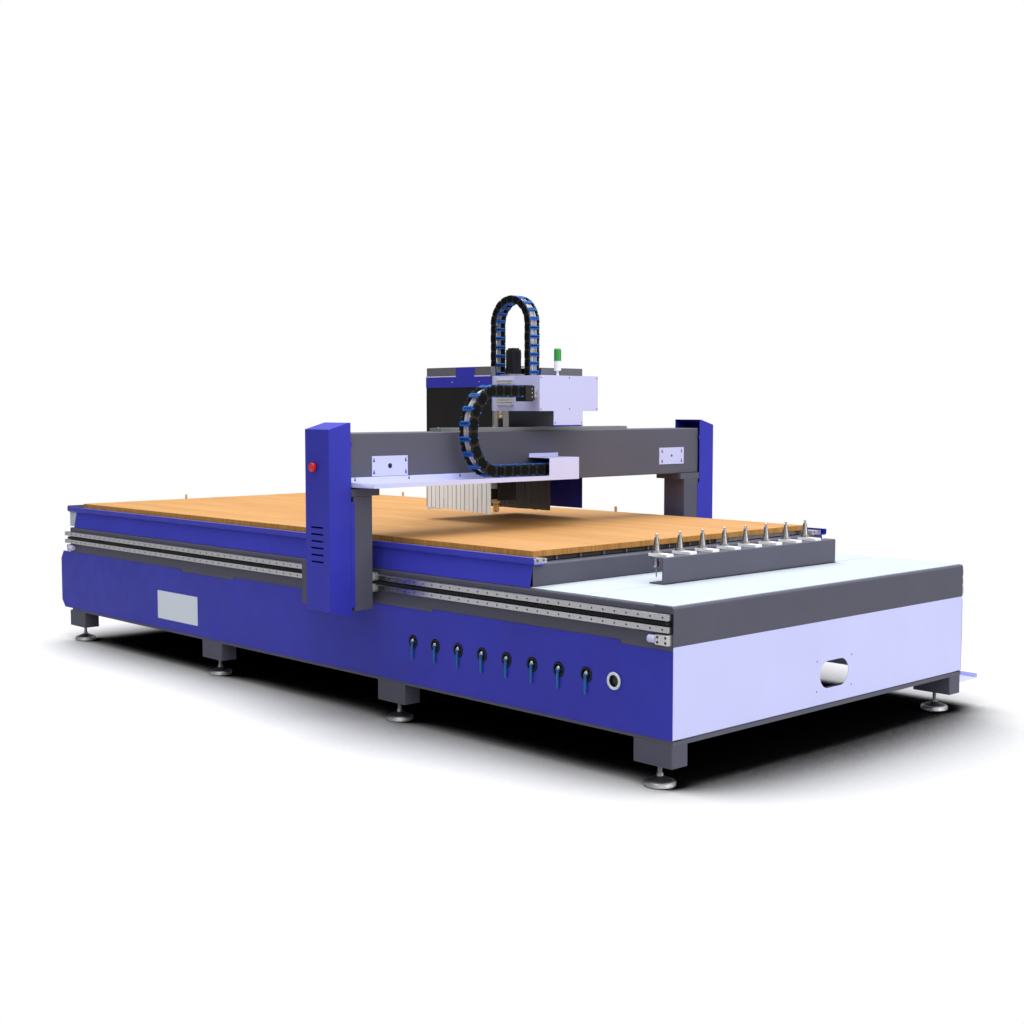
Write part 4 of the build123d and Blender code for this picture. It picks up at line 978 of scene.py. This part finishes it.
def z_screw_thread():
    thread = Build("z_screw_thread")
    points = []
    for i in range(THREAD_TURNS * STEPS_PER_TURN + 1):
        turns = i / STEPS_PER_TURN
        angle = 2 * math.pi * turns
        points.append((Z_SCREW_X + 9.9 * math.cos(angle), Z_SCREW_Y + 9.9 * math.sin(angle),
                       1154 + THREAD_PITCH * turns))
    thread.tube(points, 1.3, "bright", 6)
    thread.done("z_screw_b", "bare_steel")


def spindle_detail():
    """Cooling fins, clamp bolts, cable gland and cable."""
    spindle = Build("spindle_detail")
    for k in range(9):
        spindle.lathe((SPINDLE_X, SPINDLE_Y, 1064 + 9 * k), UP,
                      [(0, 50), (0, 56.6), (3.2, 56.6), (3.2, 50)], "aluminium", 40)
    for z in (1168, 1198, 1338, 1368):
        for x in (SPINDLE_X - 58, SPINDLE_X + 58):
            spindle.lathe((x, -335, z), POS_Y,
                          [(-0.4, 0), (-0.4, 6.5), (6, 6.5), (6.6, 5.8), (6.6, 3.2),
                           (3.5, 3.0), (3.5, 0)], "screw", 14)
    spindle.lathe((66, SPINDLE_Y, 1400), UP,
                  [(-0.5, 0), (-0.5, 13), (8, 13), (8, 10), (24, 10), (28, 7), (28, 0)],
                  "black", 18)
    spindle.tube([(66, -358, 1426), (66, -358, 1448), (70, -362, 1462), (74, -372, 1478),
                  (72, -376, 1500)], 6, "warm cable", 12)
    spindle.done("z_slide_b", "aluminium")


def air_hose():
    """Ribbed hose below its brass fitting on the carriage."""
    hose = Build("air_hose")
    x, y = -165, -621
    hose.tube([(x, y, z) for z in (1447, 1436, 1420, 1402)], 9.8, "black", 16)
    for k in range(6):
        hose.lathe((x, y, 1404 + 6.6 * k), UP, [(0, 0), (0, 10.8), (3.4, 10.8), (3.4, 0)],
                   "black", 18)
    hose.lathe((x, y, 1445), UP,
               [(0, 0), (0, 13.2), (4, 14.6), (14, 14.6), (15, 12.8), (21, 12.8), (22, 14.8),
                (36, 14.8), (38.4, 14.0), (38.4, 0)], "brass", 18)
    hose.done("x_carriage", "brass")


# ------------------------------------------- ports, seals and valves on the base
PORT_Y, PORT_Z = -2300, 401
VALVE_YS = [-1020.0 - 160.3 * i for i in range(8)]


def port_ring():
    port = Build("port_ring")
    port.lathe((-1106, PORT_Y, PORT_Z), NEG_X,
               [(-3, 24.5), (-3, 36.5), (0.8, 36.5), (2.6, 34), (2.6, 26.5), (0.5, 24.5)],
               "pale", 40)
    for k in range(4):
        angle = math.pi / 4 + k * math.pi / 2
        port.screw((-1108.2, PORT_Y + 30 * math.cos(angle), PORT_Z + 30 * math.sin(angle)),
                   NEG_X, r=2.6, h=1.2)
    port.lathe((-1085, PORT_Y, PORT_Z), NEG_X,
               [(0, 0), (0, 21.9), (4, 21.9), (4, 15), (1.5, 13), (1.5, 7), (5, 6), (5, 0)],
               "dark", 32)
    port.done("base", "panel_lavender")


def channel_shadow_and_joint_strips():
    """A black strip along the foot of the tool channel for its contact shadow (painted shadow),
    and a strip over the deck joint.
    """
    dark_strips = Build("channel_shadow_and_joint_strips")
    # painted shadow: dark strip where the tool channel meets the deck
    dark_strips.box(-612, 697, -2137.4, -2133.5, 733.2, 737, "black", 0.4)
    dark_strips.box(-1084, 1084, -2116.9, -2113.1, 730.2, 732.0, "black", 0.3)
    dark_strips.done("base", "black_plastic")


def valves():
    """A pair of rings for each valve, then its knob and lever tongue."""
    rings = Build("valve_faces")
    for y in VALVE_YS:
        rings.lathe((-1101.4, y, 405), NEG_X,
                    [(0, 23.5), (0, 31), (1.2, 31), (1.8, 30), (1.8, 24.5), (1.2, 23.5)],
                    "black sheet", 36)
        rings.lathe((-1084, y, 405), NEG_X,
                    [(-1, 6.4), (-1, 25.8), (3.5, 25.8), (5.5, 23), (5.5, 17), (3, 15),
                     (3, 6.4)], "black sheet", 30)
    rings.done("base", "black_plastic")
    for number, y in enumerate(VALVE_YS, 1):
        knob = Build("valve_knob_%d" % number)
        knob.lathe((-1109, y - 9, 415), NEG_X,
                   [(-0.5, 0), (-0.5, 8.2), (3.0, 8.2), (5.0, 6.5), (5.6, 3.6), (4.0, 3.2),
                    (4.0, 0)], "bright", 20)
        knob.box(-1110.4, -1108, y - 5.0, y + 5.0, 330, 392, "lever", 1.0)
        knob.done("lever_%d" % number, "lever_blue")


def estop_arrows():
    """Three raised arcs on the stop button."""
    arrows = Build("estop_arrows")
    for k in range(3):
        angles = [2 * math.pi * k / 3 + j * 0.22 for j in range(7)]
        arrows.tube([(-1430.2, -675 + 11 * math.cos(a), 1223 + 11 * math.sin(a))
                     for a in angles], 0.7, "red", 6)
    arrows.done("estop", "button_red")


for build_piece in (y_racks, x_rails, y_rail_bolts, panel_screws, gantry_screws, carriage_screws,
                    z_motor_fins, z_screw_thread, spindle_detail, air_hose, port_ring,
                    channel_shadow_and_joint_strips, valves, estop_arrows):
    build_piece()


# ------------------------------------------------------------ edges on CAD parts
# edge width in mm: CAD pieces
SOFT_EDGES = {
    2.0: "base_legs gantry_columns",
    1.5: "bed_frame",
    1.2: "head_top_box tool_forks",
    1.0: "end_stops",
    0.8: "deck_plates",
    0.7: "cover_left cover_right chain_shelf",
    0.6: "side_panel_left side_panel_right end_panels electrics_box",
}
for width, pieces in SOFT_EDGES.items():
    for piece in pieces.split():
        weld = NODES[piece].modifiers.new("weld", "WELD")
        weld.merge_threshold = 0.00002
        edge = NODES[piece].modifiers.new("edge", "BEVEL")
        edge.width = width / 1000
        edge.segments = 2
        edge.limit_method = "ANGLE"
        edge.angle_limit = math.radians(35)


# ------------------------------------------------------------------ the studio
def floor_material():
    """Pale to the camera, dark under the machine, fading to pure white far out."""
    m = Finish("floor_pale")
    pale = m.mix(m.noise(scale=1.5, detail=3), (0.93, 0.93, 0.935), (0.96, 0.96, 0.965))
    to_camera = m.add("LightPath", output="Is Camera Ray")
    # contact shadow, leaning towards +Y and -X
    lean = m.add("CombineXYZ", dict(enumerate(Vector((-0.28, 0.62, 1.0)).normalized())))
    occlusion = m.add("AmbientOcclusion", {"Distance": 2.0, "Normal": lean}, "AO", samples=24)
    openness = m.ramp(occlusion, band=(0.0, 1.0), to=(0.0, 1.0))
    openness.node.inputs["From Min"].default_value = 0.44
    openness.node.inputs["From Max"].default_value = 0.92
    seen = m.mix(openness, (0.003, 0.003, 0.0035), pale)
    m.surface(Base_Color=m.mix(to_camera, (0.50, 0.50, 0.505), seen), Roughness=0.55,
              Specular_IOR_Level=0.0)
    # oval distance from the origin
    position = m.add("NewGeometry", output="Position")
    oval = m.add("VectorMath", {0: position, 1: (0.85, 0.62, 0.0)}, operation="MULTIPLY")
    distance = m.add("VectorMath", {0: oval}, "Value", operation="LENGTH")
    far = m.ramp(distance, band=(1.55, 2.7))
    white = m.calc("MULTIPLY", m.calc("MULTIPLY", far, openness), to_camera)
    m.feed(m.output, m.add("MixShader", {0: white, 1: m.shader.outputs[0],
                                         2: m.add("Emission")}))
    return m.material


def floor():
    data = bpy.data.meshes.new("floor")
    grid = bmesh.new()
    bmesh.ops.create_grid(grid, x_segments=1, y_segments=1, size=60)
    grid.to_mesh(data)
    grid.free()
    obj = bpy.data.objects.new("floor", data)
    bpy.context.scene.collection.objects.link(obj)
    data.materials.append(floor_material())


def studio_world():
    """White to the camera; light from the -Y side and only from above the horizon."""
    world = bpy.data.worlds.new("studio")
    bpy.context.scene.world = world
    world.use_nodes = True
    n = Nodes(world.node_tree, coords="Generated")
    brightest = Vector((0.30, -0.88, 0.36)).normalized()
    toward = n.add("VectorMath", {0: n.coords, 1: brightest}, "Value", operation="DOT_PRODUCT")
    strength = n.calc("MULTIPLY", n.ramp(toward, band=(-0.35, 0.9), to=(0.42, 1.85)),
                      n.ramp(n.axis("Z"), band=(0.06, 0.42)))
    light = n.add("Background", {"Color": (0.98, 0.985, 1.0), "Strength": strength})
    white = n.add("Background", {"Color": (1, 1, 1), "Strength": 1.0})
    to_camera = n.add("LightPath", output="Is Camera Ray")
    output = n.tree.nodes.new("ShaderNodeOutputWorld").inputs[0]
    n.feed(output, n.add("MixShader", {0: to_camera, 1: light, 2: white}))


def aim(obj, location, direction):
    obj.location = location
    obj.rotation_euler = direction.to_track_quat("-Z", "Y").to_euler()
    bpy.context.scene.collection.objects.link(obj)


def area_light(name, location, target, size, size_y, power):
    light = bpy.data.lights.new(name, "AREA")
    light.energy = power
    light.shape = "RECTANGLE"
    light.size = size
    light.size_y = size_y
    aim(bpy.data.objects.new(name, light), location, Vector(target) - Vector(location))


def camera():
    data = bpy.data.cameras.new("camera")
    data.lens = 49.71
    data.sensor_width = 36.0
    data.clip_end = 200
    obj = bpy.data.objects.new("camera", data)
    aim(obj, location=(-5.2709, -6.1218, 1.500), direction=Vector((0.68403, 0.72575, -0.07344)))
    bpy.context.scene.camera = obj


floor()
studio_world()
area_light("top_soft", (0.2, 0.2, 6.5), target=(0, 0, 0.5), size=5.0, size_y=8.0, power=430)
area_light("front_soft", (1.5, -8.0, 3.2), target=(0, -1.5, 0.8), size=4.0, size_y=3.0, power=70)
bpy.context.scene.view_settings.view_transform = "Standard"
bpy.context.scene.view_settings.look = "None"
camera()

bpy.context.view_layer.update()
